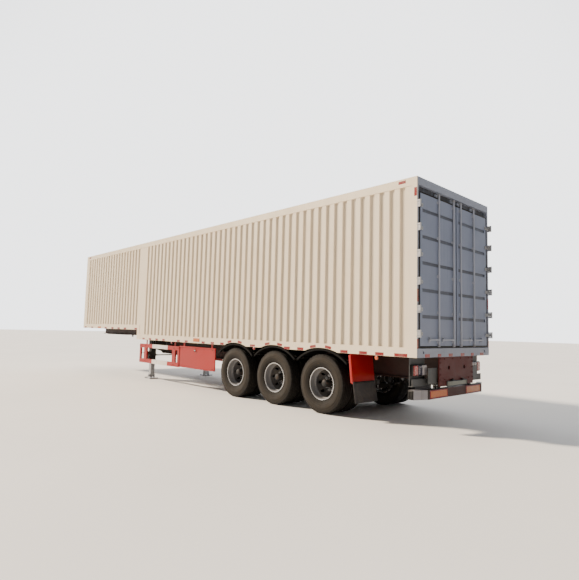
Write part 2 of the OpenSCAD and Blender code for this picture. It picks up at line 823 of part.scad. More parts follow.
hand_holes = 8;
hand_radius = 26;

module rim() {
    difference() {
        rim_shell();
        for (i = [0:hand_holes - 1]) rotate([0, 0, i * 360 / hand_holes])
            translate([212, 0, -10]) cylinder(h = 140, r = hand_radius);
    }
}

drum_r = 215;
hub_r = 88;
cap_r = 72;

module hub() {
    rotate_extrude($fn = 96) polygon([
        [stub_radius + 0.1, -140], [hub_r, -140], [hub_r, -32], [203, -32], [203, -252], [drum_r, -252],
        [drum_r, -disc_t], [hub_r, -disc_t], [hub_r, 60], [cap_r, 60], [cap_r, 205], [50, 225], [0, 225],
        [0, 205], [stub_radius + 0.1, 205]
    ]);
}

module wheel_set() {
    color(steel_grey * 0.7) {
        rim();
        mirror([0, 0, 1]) rim();
        hub();
    }
}

module tyre_pair() {
    color(rubber_black) for (side = [-1, 1]) tyre(side * twin_spacing / 2);
}

// side is 1 on the left and -1 on the right
module on_axle(index, side) {
    at(axle_d[index], side * twin_y, axle_z) rotate([-90 * side, 0, 0]) children();
}

module left_rear_tyres() on_axle(0, 1) tyre_pair();
module left_rear_wheels() on_axle(0, 1) wheel_set();
module left_middle_tyres() on_axle(1, 1) tyre_pair();
module left_middle_wheels() on_axle(1, 1) wheel_set();
module left_front_tyres() on_axle(2, 1) tyre_pair();
module left_front_wheels() on_axle(2, 1) wheel_set();
module right_rear_tyres() on_axle(0, -1) tyre_pair();
module right_rear_wheels() on_axle(0, -1) wheel_set();
module right_middle_tyres() on_axle(1, -1) tyre_pair();
module right_middle_wheels() on_axle(1, -1) wheel_set();
module right_front_tyres() on_axle(2, -1) tyre_pair();
module right_front_wheels() on_axle(2, -1) wheel_set();

floor_deck();
left_side_wall();
right_side_wall();
front_wall();
roof_panel();
top_rails();
bottom_rails();
front_posts();
rear_frame();
hinge_lugs();
left_rear_door();
right_rear_door();
left_door_hinges();
right_door_hinges();
left_lock_rods();
right_lock_rods();
main_beams();
cross_members();
kingpin_plate();
kingpin();
landing_legs();
landing_feet();
landing_gearbox();
spring_hangers();
leaf_springs();
radius_rods();
axles();
brake_chambers();
air_tanks();
mudguards();
splash_plates();
mud_flaps();
side_guards();
side_guard_panels();
underrun_guard();
rear_plate();
lamp_brackets();
tail_lamps();
marker_plates();
coupling_panel();
left_rear_tyres();
left_rear_wheels();
left_middle_tyres();
left_middle_wheels();
left_front_tyres();
left_front_wheels();
right_rear_tyres();
right_rear_wheels();
right_middle_tyres();
right_middle_wheels();
right_front_tyres();
right_front_wheels();
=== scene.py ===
"""Looks of a box semi trailer: a stepped, corrugated body on three twin-tyred axles.

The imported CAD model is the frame. Trim and fine pieces are modelled here around it, and each rides on
the CAD body that carries it. X runs forward, Y to the left and Z up. Lengths are in metres, and where a
function takes millimetres, it says so.
"""
import json
import math
from contextlib import contextmanager

import bpy
from mathutils import Matrix, Vector


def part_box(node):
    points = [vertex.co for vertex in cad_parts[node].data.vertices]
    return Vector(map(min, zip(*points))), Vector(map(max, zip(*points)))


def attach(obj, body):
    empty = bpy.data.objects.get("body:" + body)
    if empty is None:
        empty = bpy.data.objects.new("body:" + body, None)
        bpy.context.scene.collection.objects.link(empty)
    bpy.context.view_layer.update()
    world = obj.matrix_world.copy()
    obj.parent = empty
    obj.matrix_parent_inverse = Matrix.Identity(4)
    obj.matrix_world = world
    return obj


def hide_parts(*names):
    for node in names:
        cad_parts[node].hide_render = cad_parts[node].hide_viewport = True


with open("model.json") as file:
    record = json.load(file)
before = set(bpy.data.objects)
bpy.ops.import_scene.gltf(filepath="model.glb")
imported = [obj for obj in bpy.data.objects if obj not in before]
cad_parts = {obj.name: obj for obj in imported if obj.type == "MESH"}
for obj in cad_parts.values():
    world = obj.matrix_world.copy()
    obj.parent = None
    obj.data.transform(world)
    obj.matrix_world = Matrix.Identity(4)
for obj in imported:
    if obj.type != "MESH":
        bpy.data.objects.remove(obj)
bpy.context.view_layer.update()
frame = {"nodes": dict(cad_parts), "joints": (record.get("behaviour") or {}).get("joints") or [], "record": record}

MM = 0.001
FORWARD, LEFT, UP = Vector((1, 0, 0)), Vector((0, 1, 0)), Vector((0, 0, 1))
BACK = -FORWARD
ORIGIN = Vector((0, 0, 0))
OTHER_SIDE = Matrix.Scale(-1, 4, LEFT)
CHASSIS = "trailer"

# ---- places taken from the frame ----

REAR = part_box("rear_frame")[0].x
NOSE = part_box("bottom_rails")[1].x
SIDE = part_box("bottom_rails")[1].y
RAIL_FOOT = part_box("bottom_rails")[0].z
LEAF_LOW, LEAF_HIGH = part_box("left_rear_door")
HINGE = Vector(next(j["pos_m"] for j in frame["joints"] if j["name"] == "left_door_hinge"))
WHEELS = {j["child"]: Vector(j["pos_m"]) for j in frame["joints"] if j.get("continuous")}
AXLES = sorted({(centre.x, centre.z) for centre in WHEELS.values()})


def ahead(distance):
    """The X of a place this far forward of the rear face."""
    return REAR + distance


def mm(*numbers):
    """A place or a move given in millimetres."""
    return Vector(numbers) * MM


def middle(node):
    """The middle of a CAD node's box."""
    low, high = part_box(node)
    return (low + high) / 2


LEG = middle("landing_feet")


def levels(node, axis, gap=0.1):
    """Middles of the separate runs that a CAD node's corners make along one axis."""
    places = sorted({round(vertex.co[axis], 4) for vertex in frame["nodes"][node].data.vertices})
    runs = [[places[0], places[0]]]
    for place in places[1:]:
        if place - runs[-1][1] > gap:
            runs.append([place, place])
        runs[-1][1] = place
    return [sum(run) / 2 for run in runs]


# ---- modelling ----


def deselect():
    bpy.ops.object.select_all(action="DESELECT")


def pick(piece):
    """Makes one piece the only one selected, and the active one."""
    deselect()
    piece.select_set(True)
    bpy.context.view_layer.objects.active = piece


@contextmanager
def editing(piece, chosen=None, kind="FACE"):
    """Edit mode on a piece, with everything picked, or only what chosen() says by place and normal."""
    pick(piece)
    bpy.ops.object.mode_set(mode="EDIT")
    bpy.ops.mesh.select_mode(type=kind)
    bpy.ops.mesh.select_all(action="DESELECT" if chosen else "SELECT")
    if chosen:
        bpy.ops.object.mode_set(mode="OBJECT")
        if kind == "FACE":
            for face in piece.data.polygons:
                face.select = chosen(face.center, face.normal)
        else:
            for vertex in piece.data.vertices:
                vertex.select = chosen(vertex.co)
        bpy.ops.object.mode_set(mode="EDIT")
    yield
    bpy.ops.object.mode_set(mode="OBJECT")


def facing(direction, least=0.9):
    """Picks the faces that look in a direction."""
    return lambda centre, normal: normal.dot(direction) > least


def applied(piece, kind, **settings):
    """Adds a modifier with its settings and applies it."""
    pick(piece)
    modifier = piece.modifiers.new(kind, kind)
    for key, value in settings.items():
        setattr(modifier, key, value)
    bpy.ops.object.modifier_apply(modifier=modifier.name)
    return piece


def bevelled(piece, width, segments=2, angle=40):
    return applied(piece, "BEVEL", width=width, segments=segments, limit_method="ANGLE",
                   angle_limit=math.radians(angle))


def slab(low, high, edge=0.0):
    """A block between two corners, with its edges rounded."""
    low, high = Vector(low), Vector(high)
    deselect()
    bpy.ops.mesh.primitive_cube_add(size=1, location=(low + high) / 2)
    piece = bpy.context.object
    piece.scale = high - low
    bpy.ops.object.transform_apply(location=True, rotation=True, scale=True)
    return bevelled(piece, edge) if edge else piece


def block(low, high, edge=0):
    """A slab given in millimetres."""
    return slab(mm(*low), mm(*high), edge * MM)


def turn_to(direction):
    """The turn that points the Z axis in a direction."""
    return Vector(direction).to_track_quat("Z", "Y").to_matrix().to_4x4()


def rod(start, end, radius, sides=16, edge=0.0):
    """A round bar between two points."""
    start, end = Vector(start), Vector(end)
    deselect()
    bpy.ops.mesh.primitive_cylinder_add(
        vertices=sides, radius=radius, depth=(end - start).length,
        location=(start + end) / 2, rotation=turn_to(end - start).to_euler())
    bpy.ops.object.transform_apply(location=True, rotation=True, scale=True)
    piece = bpy.context.object
    return bevelled(piece, edge, 2, 50) if edge else piece


def stud(start, end, radius, sides=16, edge=0):
    """A rod given in millimetres."""
    return rod(mm(*start), mm(*end), radius * MM, sides, edge * MM)


def turned(outline, steps=48, unit=MM):
    """A solid turned about the Y axis from its (radius, distance along the axis) outline.

    The outline is in millimetres, unless another unit is given in metres.
    """
    deselect()
    bpy.ops.mesh.primitive_circle_add(vertices=len(outline), fill_type="NOTHING")
    piece = bpy.context.object
    for vertex, (radius, along) in zip(piece.data.vertices, outline):
        vertex.co = (radius * unit, along * unit, 0)
    on_axis = lambda place: abs(place.x) < 0.01 * MM
    if sum(on_axis(vertex.co) for vertex in piece.data.vertices) > 1:
        with editing(piece, on_axis, "VERT"):
            bpy.ops.mesh.select_mode(type="EDGE")
            bpy.ops.mesh.delete(type="EDGE")
    with editing(piece, kind="VERT"):
        bpy.ops.mesh.spin(steps=steps, angle=math.tau, center=(0, 0, 0), axis=LEFT)
        bpy.ops.mesh.select_all(action="SELECT")
        bpy.ops.mesh.remove_doubles(threshold=0.02 * MM)
        bpy.ops.mesh.normals_make_consistent(inside=False)
    return piece


def sleeve(inner, outer, start, end, steps):
    """A plain ring about the Y axis, between two radii and two ends in millimetres."""
    return turned([(inner, start), (outer, start), (outer, end), (inner, end)], steps)


def stepped(piece, direction, border, rise):
    """Draws out the face that looks in a direction, inside a border, all in millimetres."""
    with editing(piece, facing(direction)):
        bpy.ops.mesh.inset(thickness=border * MM)
        bpy.ops.mesh.extrude_region_move(TRANSFORM_OT_translate={"value": direction * rise * MM})
    return piece


def pressed(piece, direction, border, slope, rise):
    """Presses the face that looks in a direction up or down on a slope, inside a border, in millimetres."""
    with editing(piece, facing(direction)):
        bpy.ops.mesh.inset(thickness=border * MM)
        bpy.ops.mesh.inset(thickness=slope * MM, depth=rise * MM)
    return piece


def tapered(piece, direction, scale):
    """Shrinks the end of a piece that looks in a direction."""
    with editing(piece, facing(direction)):
        bpy.ops.transform.resize(value=scale)
    return piece


def placed(piece, place):
    """Moves a piece's mesh, and leaves its object at the origin."""
    piece.data.transform(place)
    return piece


def moved(piece, place):
    return placed(piece, Matrix.Translation(place))


def upright(direction):
    """The turn that points the Y axis, which turned pieces are made about, in a direction."""
    return LEFT.rotation_difference(Vector(direction)).to_matrix().to_4x4()


def standing(piece, place, direction):
    """Moves a turned piece so that its axis points in a direction from a place."""
    return placed(piece, Matrix.Translation(place) @ upright(direction))


def joined(pieces):
    pieces = list(pieces)
    pick(pieces[0])
    for piece in pieces:
        piece.select_set(True)
    if len(pieces) > 1:
        bpy.ops.object.join()
    return pieces[0]


def own_copy(model, place):
    """A copy with its own mesh, set down at a place."""
    copy = model.copy()
    copy.data = model.data.copy()
    bpy.context.collection.objects.link(copy)
    copy.data.transform(place)
    if place.determinant() < 0:
        copy.data.flip_normals()
    return copy


def copied(model, places):
    """The model set down at each place, and all joined."""
    copies = [own_copy(model, place) for place in places]
    bpy.data.objects.remove(model)
    return joined(copies)


def at_points(model, points):
    return copied(model, [Matrix.Translation(point) for point in points])


def both_sides(piece):
    return copied(piece, [Matrix(), OTHER_SIDE])


def painted(piece, material, chosen=None):
    """Gives a piece its material, or gives one to the faces that chosen() picks."""
    if chosen is None:
        piece.data.materials.clear()
    piece.data.materials.append(material)
    if chosen:
        for face in piece.data.polygons:
            if chosen(face.center, face.normal):
                face.material_index = len(piece.data.materials) - 1
    return piece


def finished(piece, name, body, replaces=(), smooth=32):
    """Names a piece, smooths it and fixes it to the frame."""
    piece.name = piece.data.name = name
    pick(piece)
    bpy.ops.object.shade_smooth_by_angle(angle=math.radians(smooth))
    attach(piece, body)
    if replaces:
        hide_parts(*replaces)
    return piece


def on_both_doors(piece, part, replaced=None):
    """Fixes a piece to the left door, and its mirrored twin to the right door."""
    for side, leaf in (("right", own_copy(piece, OTHER_SIDE)), ("left", piece)):
        nodes = [f"{side}_{replaced}"] if replaced else ()
        finished(leaf, f"{side}_{part}", f"{side}_door", nodes)


def bolt_head(across):
    """A hexagon head on its washer, standing on the origin and pointing up."""
    washer = rod((0, 0, 0), (0, 0, 0.12 * across), 0.85 * across, 14)
    tapered(washer, UP, (0.92, 0.92, 1))
    head = rod((0, 0, 0.12 * across), (0, 0, 0.7 * across), 0.577 * across, 6)
    with editing(head, facing(UP)):
        bpy.ops.mesh.inset(thickness=0.1 * across)
        bpy.ops.transform.translate(value=(0, 0, 0.07 * across))
    return joined([washer, head])


def bolts(points, direction, across):
    """Bolt heads, this many millimetres across, at points on a face that looks in a direction."""
    turn = turn_to(direction)
    return copied(bolt_head(across * MM), [Matrix.Translation(point) @ turn for point in points])


def rivets(points):
    """Low domed heads, 8 mm across, at points on a face that looks backward."""
    dome = turned([(0, 2), (2.4, 1.6), (4, 0), (0, 0)], 12)
    turn = upright(BACK)
    return painted(copied(dome, [Matrix.Translation(point) @ turn for point in points]), ZINC)


# ---- materials ----


def linear(hex_colour):
    """An sRGB hex colour as the linear colour that a shader takes."""
    channels = [int(hex_colour[i:i + 2], 16) / 255 for i in (1, 3, 5)]
    return [c / 12.92 if c <= 0.04045 else ((c + 0.055) / 1.055) ** 2.4 for c in channels] + [1]


def add(tree, kind, inputs=None, **settings):
    """Adds a node, sets it, and gives each input its value or its link."""
    node = tree.nodes.new(kind)
    for key, value in settings.items():
        setattr(node, key, value)
    for key, value in (inputs or {}).items():
        if isinstance(value, bpy.types.NodeSocket):
            tree.links.new(value, node.inputs[key])
        else:
            node.inputs[key].default_value = value
    return node


def new_material(name, metallic=0.0, **shader_values):
    """A material, its tree, and the place of each point on the piece."""
    material = bpy.data.materials.new(name)
    material.use_nodes = True
    tree = material.node_tree
    shader = tree.nodes["Principled BSDF"]
    shader.inputs["Metallic"].default_value = metallic
    for key, value in shader_values.items():
        shader.inputs[key.replace("_", " ")].default_value = value
    return material, tree, add(tree, "ShaderNodeTexCoord").outputs["Object"]


def surfaced(material, colour, rough=None, *bumps):
    """Gives a material its colour, its roughness, and a stack of (height, distance in mm, strength) bumps."""
    tree = material.node_tree
    shader = tree.nodes["Principled BSDF"]
    tree.links.new(colour, shader.inputs["Base Color"])
    if rough:
        tree.links.new(rough, shader.inputs["Roughness"])
    below = {}
    for height, distance, strength in bumps:
        bump = add(tree, "ShaderNodeBump",
                   {"Height": height, "Distance": distance * MM, "Strength": strength, **below})
        below = {"Normal": bump.outputs["Normal"]}
    if bumps:
        tree.links.new(below["Normal"], shader.inputs["Normal"])
    return material


def per_metre(cell):
    """The scale at which a pattern's cell is about this many millimetres long."""
    return 1 / (cell * MM)


def noise(tree, place, cell, detail=2.0, stretch=(1, 1, 1)):
    """Uneven tone with cells of a size in millimetres, longer along an axis where stretch is under 1."""
    spread = add(tree, "ShaderNodeMapping", {"Vector": place, "Scale": stretch})
    return add(tree, "ShaderNodeTexNoise", {
        "Vector": spread.outputs["Vector"], "Scale": per_metre(cell), "Detail": detail}).outputs["Fac"]


def along_axes(tree, place):
    return add(tree, "ShaderNodeSeparateXYZ", {"Vector": place}).outputs


def remap(tree, value, low, high, to_low, to_high, kind="LINEAR"):
    return add(tree, "ShaderNodeMapRange", {
        "Value": value, "From Min": low, "From Max": high, "To Min": to_low, "To Max": to_high},
        interpolation_type=kind).outputs["Result"]


def maths(tree, operation, *values):
    return add(tree, "ShaderNodeMath", dict(enumerate(values)), operation=operation).outputs["Value"]


def blended(tree, share, under, over):
    """One colour laid over another by a share; a hex colour or a link may be given for each."""
    colours = [linear(c) if isinstance(c, str) else c for c in (under, over)]
    return add(tree, "ShaderNodeMix", {"Factor": share, 6: colours[0], 7: colours[1]},
               data_type="RGBA").outputs[2]


def laid(tree, value, low, high, share, under, over):
    """Lays a colour over another where a value passes from low to high, up to a share."""
    return blended(tree, remap(tree, value, low, high, 0, share), under, over)


def varied(tree, tone, least, most):
    """Spreads the middle of an uneven tone between two values."""
    return remap(tree, tone, 0.3, 0.7, least, most)


DUST = "#9A8F80"


def enamel(name, colour, shade, gloss=0.38, dust=0.18, bands=(), wave=4, coat=0.1):
    """Alkyd enamel sprayed on sheet steel: orange peel, faint rain streaks, and road dust low down.

    Each band is another colour laid over a stretch of one axis: (axis, middle, reach to each side, colour).
    """
    material, tree, place = new_material(
        name, Coat_Weight=coat, Coat_Roughness=0.18, Specular_IOR_Level=0.4)
    axes = along_axes(tree, place)
    grime = noise(tree, place, 240, 5)
    base = colour
    for axis, centre, reach, other in bands:
        base = blended(tree, maths(tree, "COMPARE", axes[axis], centre, reach), base, other)
    base = laid(tree, noise(tree, place, 900, 4), 0.35, 0.7, 0.3, base, shade)
    base = laid(tree, noise(tree, place, 60, 3, (1, 1, 0.06)), 0.52, 0.75, 0.35, base, shade)
    low_down = remap(tree, axes["Z"], 0.2, 2.0, 1, 0)
    settled = maths(tree, "MULTIPLY", low_down, remap(tree, grime, 0.35, 0.7, 0.2 * dust, 1.8 * dust))
    rough = maths(tree, "ADD", varied(tree, grime, gloss - 0.05, gloss + 0.08),
                  maths(tree, "MULTIPLY", settled, 0.8))
    # Orange peel is about 3 mm across; 12 mm is as fine as shows from a few metres
    return surfaced(material, blended(tree, settled, base, DUST), rough,
                    (noise(tree, place, 500, 1), wave, 0.5), (noise(tree, place, 12, 1), 0.3, 0.25))


def plated_steel(name, colour, bright, rough=0.38):
    """Zinc-plated or bare steel: large dull spangle, fine scratches, a metal sheen."""
    material, tree, place = new_material(name, metallic=0.85)
    spangle = add(tree, "ShaderNodeTexVoronoi", {"Vector": place, "Scale": per_metre(14)}).outputs["Color"]
    tone = noise(tree, place, 90, 5)
    base = laid(tree, spangle, 0, 1, 0.35, colour, bright)
    return surfaced(material, laid(tree, tone, 0.5, 0.75, 0.4, base, "#6E6A64"),
                    varied(tree, tone, rough - 0.08, rough + 0.16), (noise(tree, place, 6, 3), 0.2, 0.3))


def cast_iron(name, colour, rough=0.62):
    """Sand-cast iron under thin paint: a pebbled skin and brown bloom in the hollows."""
    material, tree, place = new_material(name, metallic=0.3)
    skin = noise(tree, place, 7, 4)
    bloom = noise(tree, place, 70, 6)
    return surfaced(material, laid(tree, bloom, 0.5, 0.72, 0.6, colour, "#5A4536"),
                    varied(tree, skin, rough, rough + 0.2), (skin, 0.8, 0.5))


def moulded_rubber(name, colour, bloom, rough=0.75):
    """Moulded rubber: a matt skin with a grey bloom and dust in the low places."""
    material, tree, place = new_material(name, Specular_IOR_Level=0.35)
    dusty = noise(tree, place, 110, 5)
    return surfaced(material, blended(tree, remap(tree, dusty, 0.38, 0.7, 0.05, 0.7), colour, bloom),
                    varied(tree, dusty, rough - 0.08, rough + 0.12), (noise(tree, place, 5, 2), 0.4, 0.35))


TYRE_PLACE = "from_axle"


def tyre_rubber(name):
    """Vulcanised tread rubber: near black and scuffed on the tread, brown dust ringed on the walls."""
    material, tree, _ = new_material(name, Specular_IOR_Level=0.3)
    place = add(tree, "ShaderNodeAttribute", attribute_name=TYRE_PLACE).outputs["Vector"]
    axes = along_axes(tree, place)
    across = add(tree, "ShaderNodeCombineXYZ", {"X": axes["X"], "Z": axes["Z"]}).outputs["Vector"]
    radius = add(tree, "ShaderNodeVectorMath", {0: across}, operation="LENGTH").outputs["Value"]
    dusty = noise(tree, place, 130, 6)
    scuffs = noise(tree, place, 30, 5)
    rings = add(tree, "ShaderNodeTexWave", {
        "Vector": add(tree, "ShaderNodeCombineXYZ", {"X": radius}).outputs["Vector"],
        "Scale": 9.0, "Distortion": 0.6}, bands_direction="X").outputs["Fac"]
    wall = remap(tree, radius, 0.47, 0.52, 1, 0.15)
    belt = maths(tree, "MULTIPLY", wall, remap(tree, radius, 0.33, 0.41, 0.3, 1))
    base = blended(tree, maths(tree, "MULTIPLY", belt, varied(tree, dusty, 0.25, 0.9)), "#0E0D0C", "#2E2923")
    ringed = maths(tree, "MULTIPLY", rings, maths(tree, "MULTIPLY", belt, 0.14))
    base = blended(tree, ringed, base, "#4A4135")
    # Fine moulded ribs on the walls are 2 mm apart; 9 mm is as fine as shows
    ribs = maths(tree, "SINE", maths(tree, "MULTIPLY", radius, math.tau / (9 * MM)))
    return surfaced(material, laid(tree, scuffs, 0.6, 0.8, 0.25, base, "#4C453B"),
                    varied(tree, dusty, 0.72, 0.95),
                    (maths(tree, "MULTIPLY", ribs, wall), 0.5, 0.3), (scuffs, 0.8, 0.3))


def deck_planks(name):
    """Hardwood planks along the floor, oiled and scuffed grey by pallets, with tight dark joints."""
    plank, joint = 120 * MM, 3 * MM
    material, tree, place = new_material(name)
    row = maths(tree, "DIVIDE", along_axes(tree, place)["Y"], plank)
    each = add(tree, "ShaderNodeTexWhiteNoise", {"W": maths(tree, "FLOOR", row)},
               noise_dimensions="1D").outputs["Value"]
    grain = noise(tree, place, 14, 6, (0.05, 1, 1))
    scuffs = noise(tree, place, 350, 6, (0.3, 1, 1))
    base = blended(tree, each, "#7A5234", "#96693F")
    base = laid(tree, grain, 0.4, 0.7, 0.7, base, "#51331F")
    base = laid(tree, scuffs, 0.5, 0.75, 0.6, base, "#8C8072")
    gap = maths(tree, "LESS_THAN", maths(tree, "FRACT", row), joint / plank)
    return surfaced(material, blended(tree, gap, base, "#1D1510"), varied(tree, scuffs, 0.5, 0.8),
                    (maths(tree, "SUBTRACT", grain, gap), 1, 0.5))


def reflective_sheet(name, colour, deep):
    """Prismatic reflective sheeting: small sealed cells that glint through a clear film."""
    material, tree, place = new_material(name, Coat_Weight=0.3, Coat_Roughness=0.12)
    # Its cells are 4 mm across; 10 mm is as fine as shows
    cells = add(tree, "ShaderNodeTexVoronoi", {"Vector": place, "Scale": per_metre(10)},
                feature="DISTANCE_TO_EDGE").outputs["Distance"]
    wear = noise(tree, place, 120, 4)
    base = blended(tree, remap(tree, cells, 0.02, 0.12, 0.5, 0), colour, deep)
    return surfaced(material, laid(tree, wear, 0.5, 0.8, 0.3, base, DUST), varied(tree, wear, 0.3, 0.5),
                    (cells, 0.4, 0.3))


def moulded_lens(name, colour, deep, pitch=9 * MM):
    """Moulded acrylic lamp lens: glossy and tinted, with upright flutes behind the face."""
    material, tree, place = new_material(name, Coat_Weight=0.8, Coat_Roughness=0.05, IOR=1.49)
    axes = along_axes(tree, place)
    across = maths(tree, "ADD", axes["X"], axes["Y"])
    flutes = maths(tree, "SINE", maths(tree, "MULTIPLY", across, math.tau / pitch))
    haze = noise(tree, place, 40, 3)
    base = blended(tree, remap(tree, flutes, -1, 1, 0, 1), colour, deep)
    return surfaced(material, laid(tree, haze, 0.5, 0.8, 0.25, base, DUST), varied(tree, haze, 0.14, 0.3),
                    (flutes, 0.8, 0.4))


def moulded_plastic(name, colour, rough=0.5, faded="#45433F"):
    """Moulded plastic with a light spark texture, faded a little by the sun."""
    material, tree, place = new_material(name, Specular_IOR_Level=0.2)
    fade = noise(tree, place, 150, 4)
    return surfaced(material, laid(tree, fade, 0.4, 0.75, 0.3, colour, faded),
                    varied(tree, fade, rough - 0.06, rough + 0.1), (noise(tree, place, 4, 1), 0.25, 0.4))


CREAM = enamel("sprayed_cream_enamel", "#E9DAC0", "#DAC9AC", 0.36, 0.1)
# The side walls' groove floors and the feet of their slopes get a darker cream: painted shade in the grooves.
GROOVE_FACE, GROOVE_REACH = 1.232, 13 * MM
groove_painted_shade = [("Y", side * GROOVE_FACE, GROOVE_REACH, "#C6BAA6") for side in (-1, 1)]
WALL_CREAM = enamel("sprayed_cream_enamel_with_painted_groove_shade", "#E9DAC0", "#DAC9AC", 0.36, 0.1, groove_painted_shade)
# The doors' pressed bands, 6 to 24 mm forward of the rear face, are laid dark grey-blue: painted shade in the
# bands.
pressed_band_painted_shade = ("X", REAR + 15 * MM, 9 * MM, "#474D5A")
# The doors are taken to wear the body's cream paint; their grey-blue is that paint's look in bluish shade, painted
# in.
DOOR_ENAMEL_IN_PAINTED_SHADE = enamel("grey_blue_painted_shade_enamel", "#78829A", "#687288", 0.42, 0.05, [pressed_band_painted_shade])
# Near black over the rear frame's faces 57 to 195 mm forward of the rear face, the door jambs and the header's
# recess: painted shade.
door_recess_painted_shade = ("X", REAR + 126 * MM, 69 * MM, "#17181C")
# The rear frame's grey-blue is painted shade too, over the cream paint it is taken to wear.
FRAME_ENAMEL_IN_PAINTED_SHADE = enamel("pale_grey_blue_painted_shade_enamel", "#868EA0", "#767E90", 0.4, 0.08, [door_recess_painted_shade])
ROD_GREY = enamel("sprayed_rod_grey", "#979DAD", "#838999", 0.42, 0.08, wave=0.5)
CHASSIS_BLACK = enamel("sprayed_chassis_black", "#121214", "#0C0C0D", 0.55, 0.08, wave=1, coat=0)
GUARD_RED = enamel("sprayed_signal_red", "#9C0402", "#860301", 0.36, 0.03, coat=0.05)
DEEP_RED = enamel("sprayed_oxide_red", "#4F0705", "#3C0504", 0.55, 0.02, coat=0)
# The main beams are the chassis red, darkened to near black as painted shade under the body.
BEAM_RED_PAINTED_SHADE = enamel("beam_red_enamel_with_painted_shade", "#260605", "#170403", 0.55, 0.04, coat=0)
white_run = ("X", ahead(8.09), 0.43, "#E9E4DC")
RAIL_RED = enamel("sprayed_signal_red_with_white", "#9C0402", "#860301", 0.36, 0.03, [white_run], coat=0.05)
bar_bands = [("Y", 0, 0.31, "#3F0606"), ("Y", 1.06, 0.12, "#8E8C92"), ("Y", -1.06, 0.12, "#8E8C92")]
BAR_PAINT = enamel("sprayed_bar_enamel", "#190807", "#110505", 0.5, 0.06, bar_bands, coat=0)
CARRIER_GREY = enamel("sprayed_carrier_grey", "#4C4F52", "#3C3F43", 0.5, 0.08, coat=0)
RIM_SILVER = enamel("sprayed_wheel_silver", "#717276", "#5A5B5E", 0.42, 0.12, wave=0.5)
DISC_GREY = enamel("sprayed_wheel_disc_grey", "#38393C", "#28292B", 0.5, 0.12, wave=0.5)
ZINC = plated_steel("zinc_plated_steel", "#A9ABAF", "#C9CCD1")
# Bright steel laid on the rims' flange edges: a painted highlight.
FLANGE_HIGHLIGHT_STEEL = plated_steel("rim_edge_painted_highlight", "#D6D8DB", "#F0F1F3", 0.24)
PIN_STEEL = plated_steel("machined_greased_steel", "#70706F", "#8D8C88", 0.3)
HUB_IRON = cast_iron("painted_cast_iron", "#232426")
FORGED = cast_iron("forged_lock_iron", "#8B8F98", 0.5)
ALLOY = plated_steel("die_cast_aluminium", "#8E9092", "#A6A8AA", 0.5)
TYRE_RUBBER = tyre_rubber("vulcanised_tread_rubber")
FLAP_RUBBER = moulded_rubber("pressed_flap_rubber", "#39373A", "#55524F")
SEAL_RUBBER = moulded_rubber("extruded_seal_rubber", "#0F0F11", "#1D1C1D", 0.6)
PLANKS = deck_planks("oiled_hardwood_planks")
RED_SHEET = reflective_sheet("red_reflective_sheeting", "#85050C", "#5C0408")
ORANGE_SHEET = reflective_sheet("orange_reflective_sheeting", "#BE6003", "#984402")
AMBER_LENS = moulded_lens("amber_acrylic_lens", "#D9601C", "#A8400F")
RED_LENS = moulded_lens("red_acrylic_lens", "#A92B2C", "#6E1519")
SMOKE_LENS = moulded_lens("smoked_acrylic_lens", "#3A3550", "#221F33")
CLEAR_LENS = moulded_lens("clear_acrylic_lens", "#C9C3C6", "#98939A")
BLACK_ABS = moulded_plastic("moulded_black_abs", "#151516")
GUARD_PLASTIC = moulded_plastic("moulded_black_polyethylene", "#060607", 0.88, "#1A1918")
PLATE_FILM = enamel("blank_plate_film", "#5B6358", "#4C544A", 0.3, 0.3)

NODE_FINISH = {
    CREAM: ("front_wall", "roof_panel", "top_rails", "bottom_rails", "front_posts"),
    WALL_CREAM: ("left_side_wall", "right_side_wall"),
    DOOR_ENAMEL_IN_PAINTED_SHADE: ("left_rear_door", "right_rear_door"),
    FRAME_ENAMEL_IN_PAINTED_SHADE: ("rear_frame",),
    ZINC: ("hinge_lugs", "left_door_hinges", "right_door_hinges", "landing_feet"),
    PLANKS: ("floor_deck",),
    CHASSIS_BLACK: ("cross_members", "kingpin_plate", "landing_legs", "spring_hangers",
                    "leaf_springs", "radius_rods", "axles", "brake_chambers"),
    GUARD_PLASTIC: ("mudguards",),
    PIN_STEEL: ("kingpin",),
    GUARD_RED: ("splash_plates", "side_guard_panels"),
    RAIL_RED: ("side_guards",),
    BAR_PAINT: ("underrun_guard",),
    DEEP_RED: ("rear_plate",),
    BEAM_RED_PAINTED_SHADE: ("main_beams",),
    CARRIER_GREY: ("lamp_brackets",),
}

# ---- wheels ----

TYRE_RADIUS = (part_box("left_rear_tyres")[1].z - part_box("left_rear_tyres")[0].z) / 2
TYRE_WIDTH = 290 * MM
TWIN_OFFSET = (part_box("left_rear_tyres")[1].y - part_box("left_rear_tyres")[0].y - TYRE_WIDTH) / 2
BEAD_RADIUS = 286 * MM
SHOULDER_RADIUS = TYRE_RADIUS - 16 * MM
TREAD_STEPS = 120


def tyre_section():
    """The section's outboard half, from the bead to the middle of the tread."""
    bulge, bead_half, wall_steps = 47 * MM, 98 * MM, 14
    ring_steps = (3, 10)
    half = []
    for step in range(wall_steps):
        rise = step / 16
        ring = 3 * MM if step in ring_steps else 0
        half.append((BEAD_RADIUS + rise * (SHOULDER_RADIUS - BEAD_RADIUS),
                     bead_half + bulge * math.sin(math.radians(150 * rise)) - 2 * MM + ring))
    half += [(SHOULDER_RADIUS, 129 * MM), (TYRE_RADIUS - 4 * MM, 117 * MM),
             (TYRE_RADIUS - 0.6 * MM, 108 * MM)]
    for outer, inner in ((74, 61), (30, 17)):
        top, floor = TYRE_RADIUS - 0.3 * MM, TYRE_RADIUS - 14 * MM
        half += [(top, outer * MM), (floor, (outer - 2) * MM), (floor, (inner + 2) * MM), (top, inner * MM)]
    return half


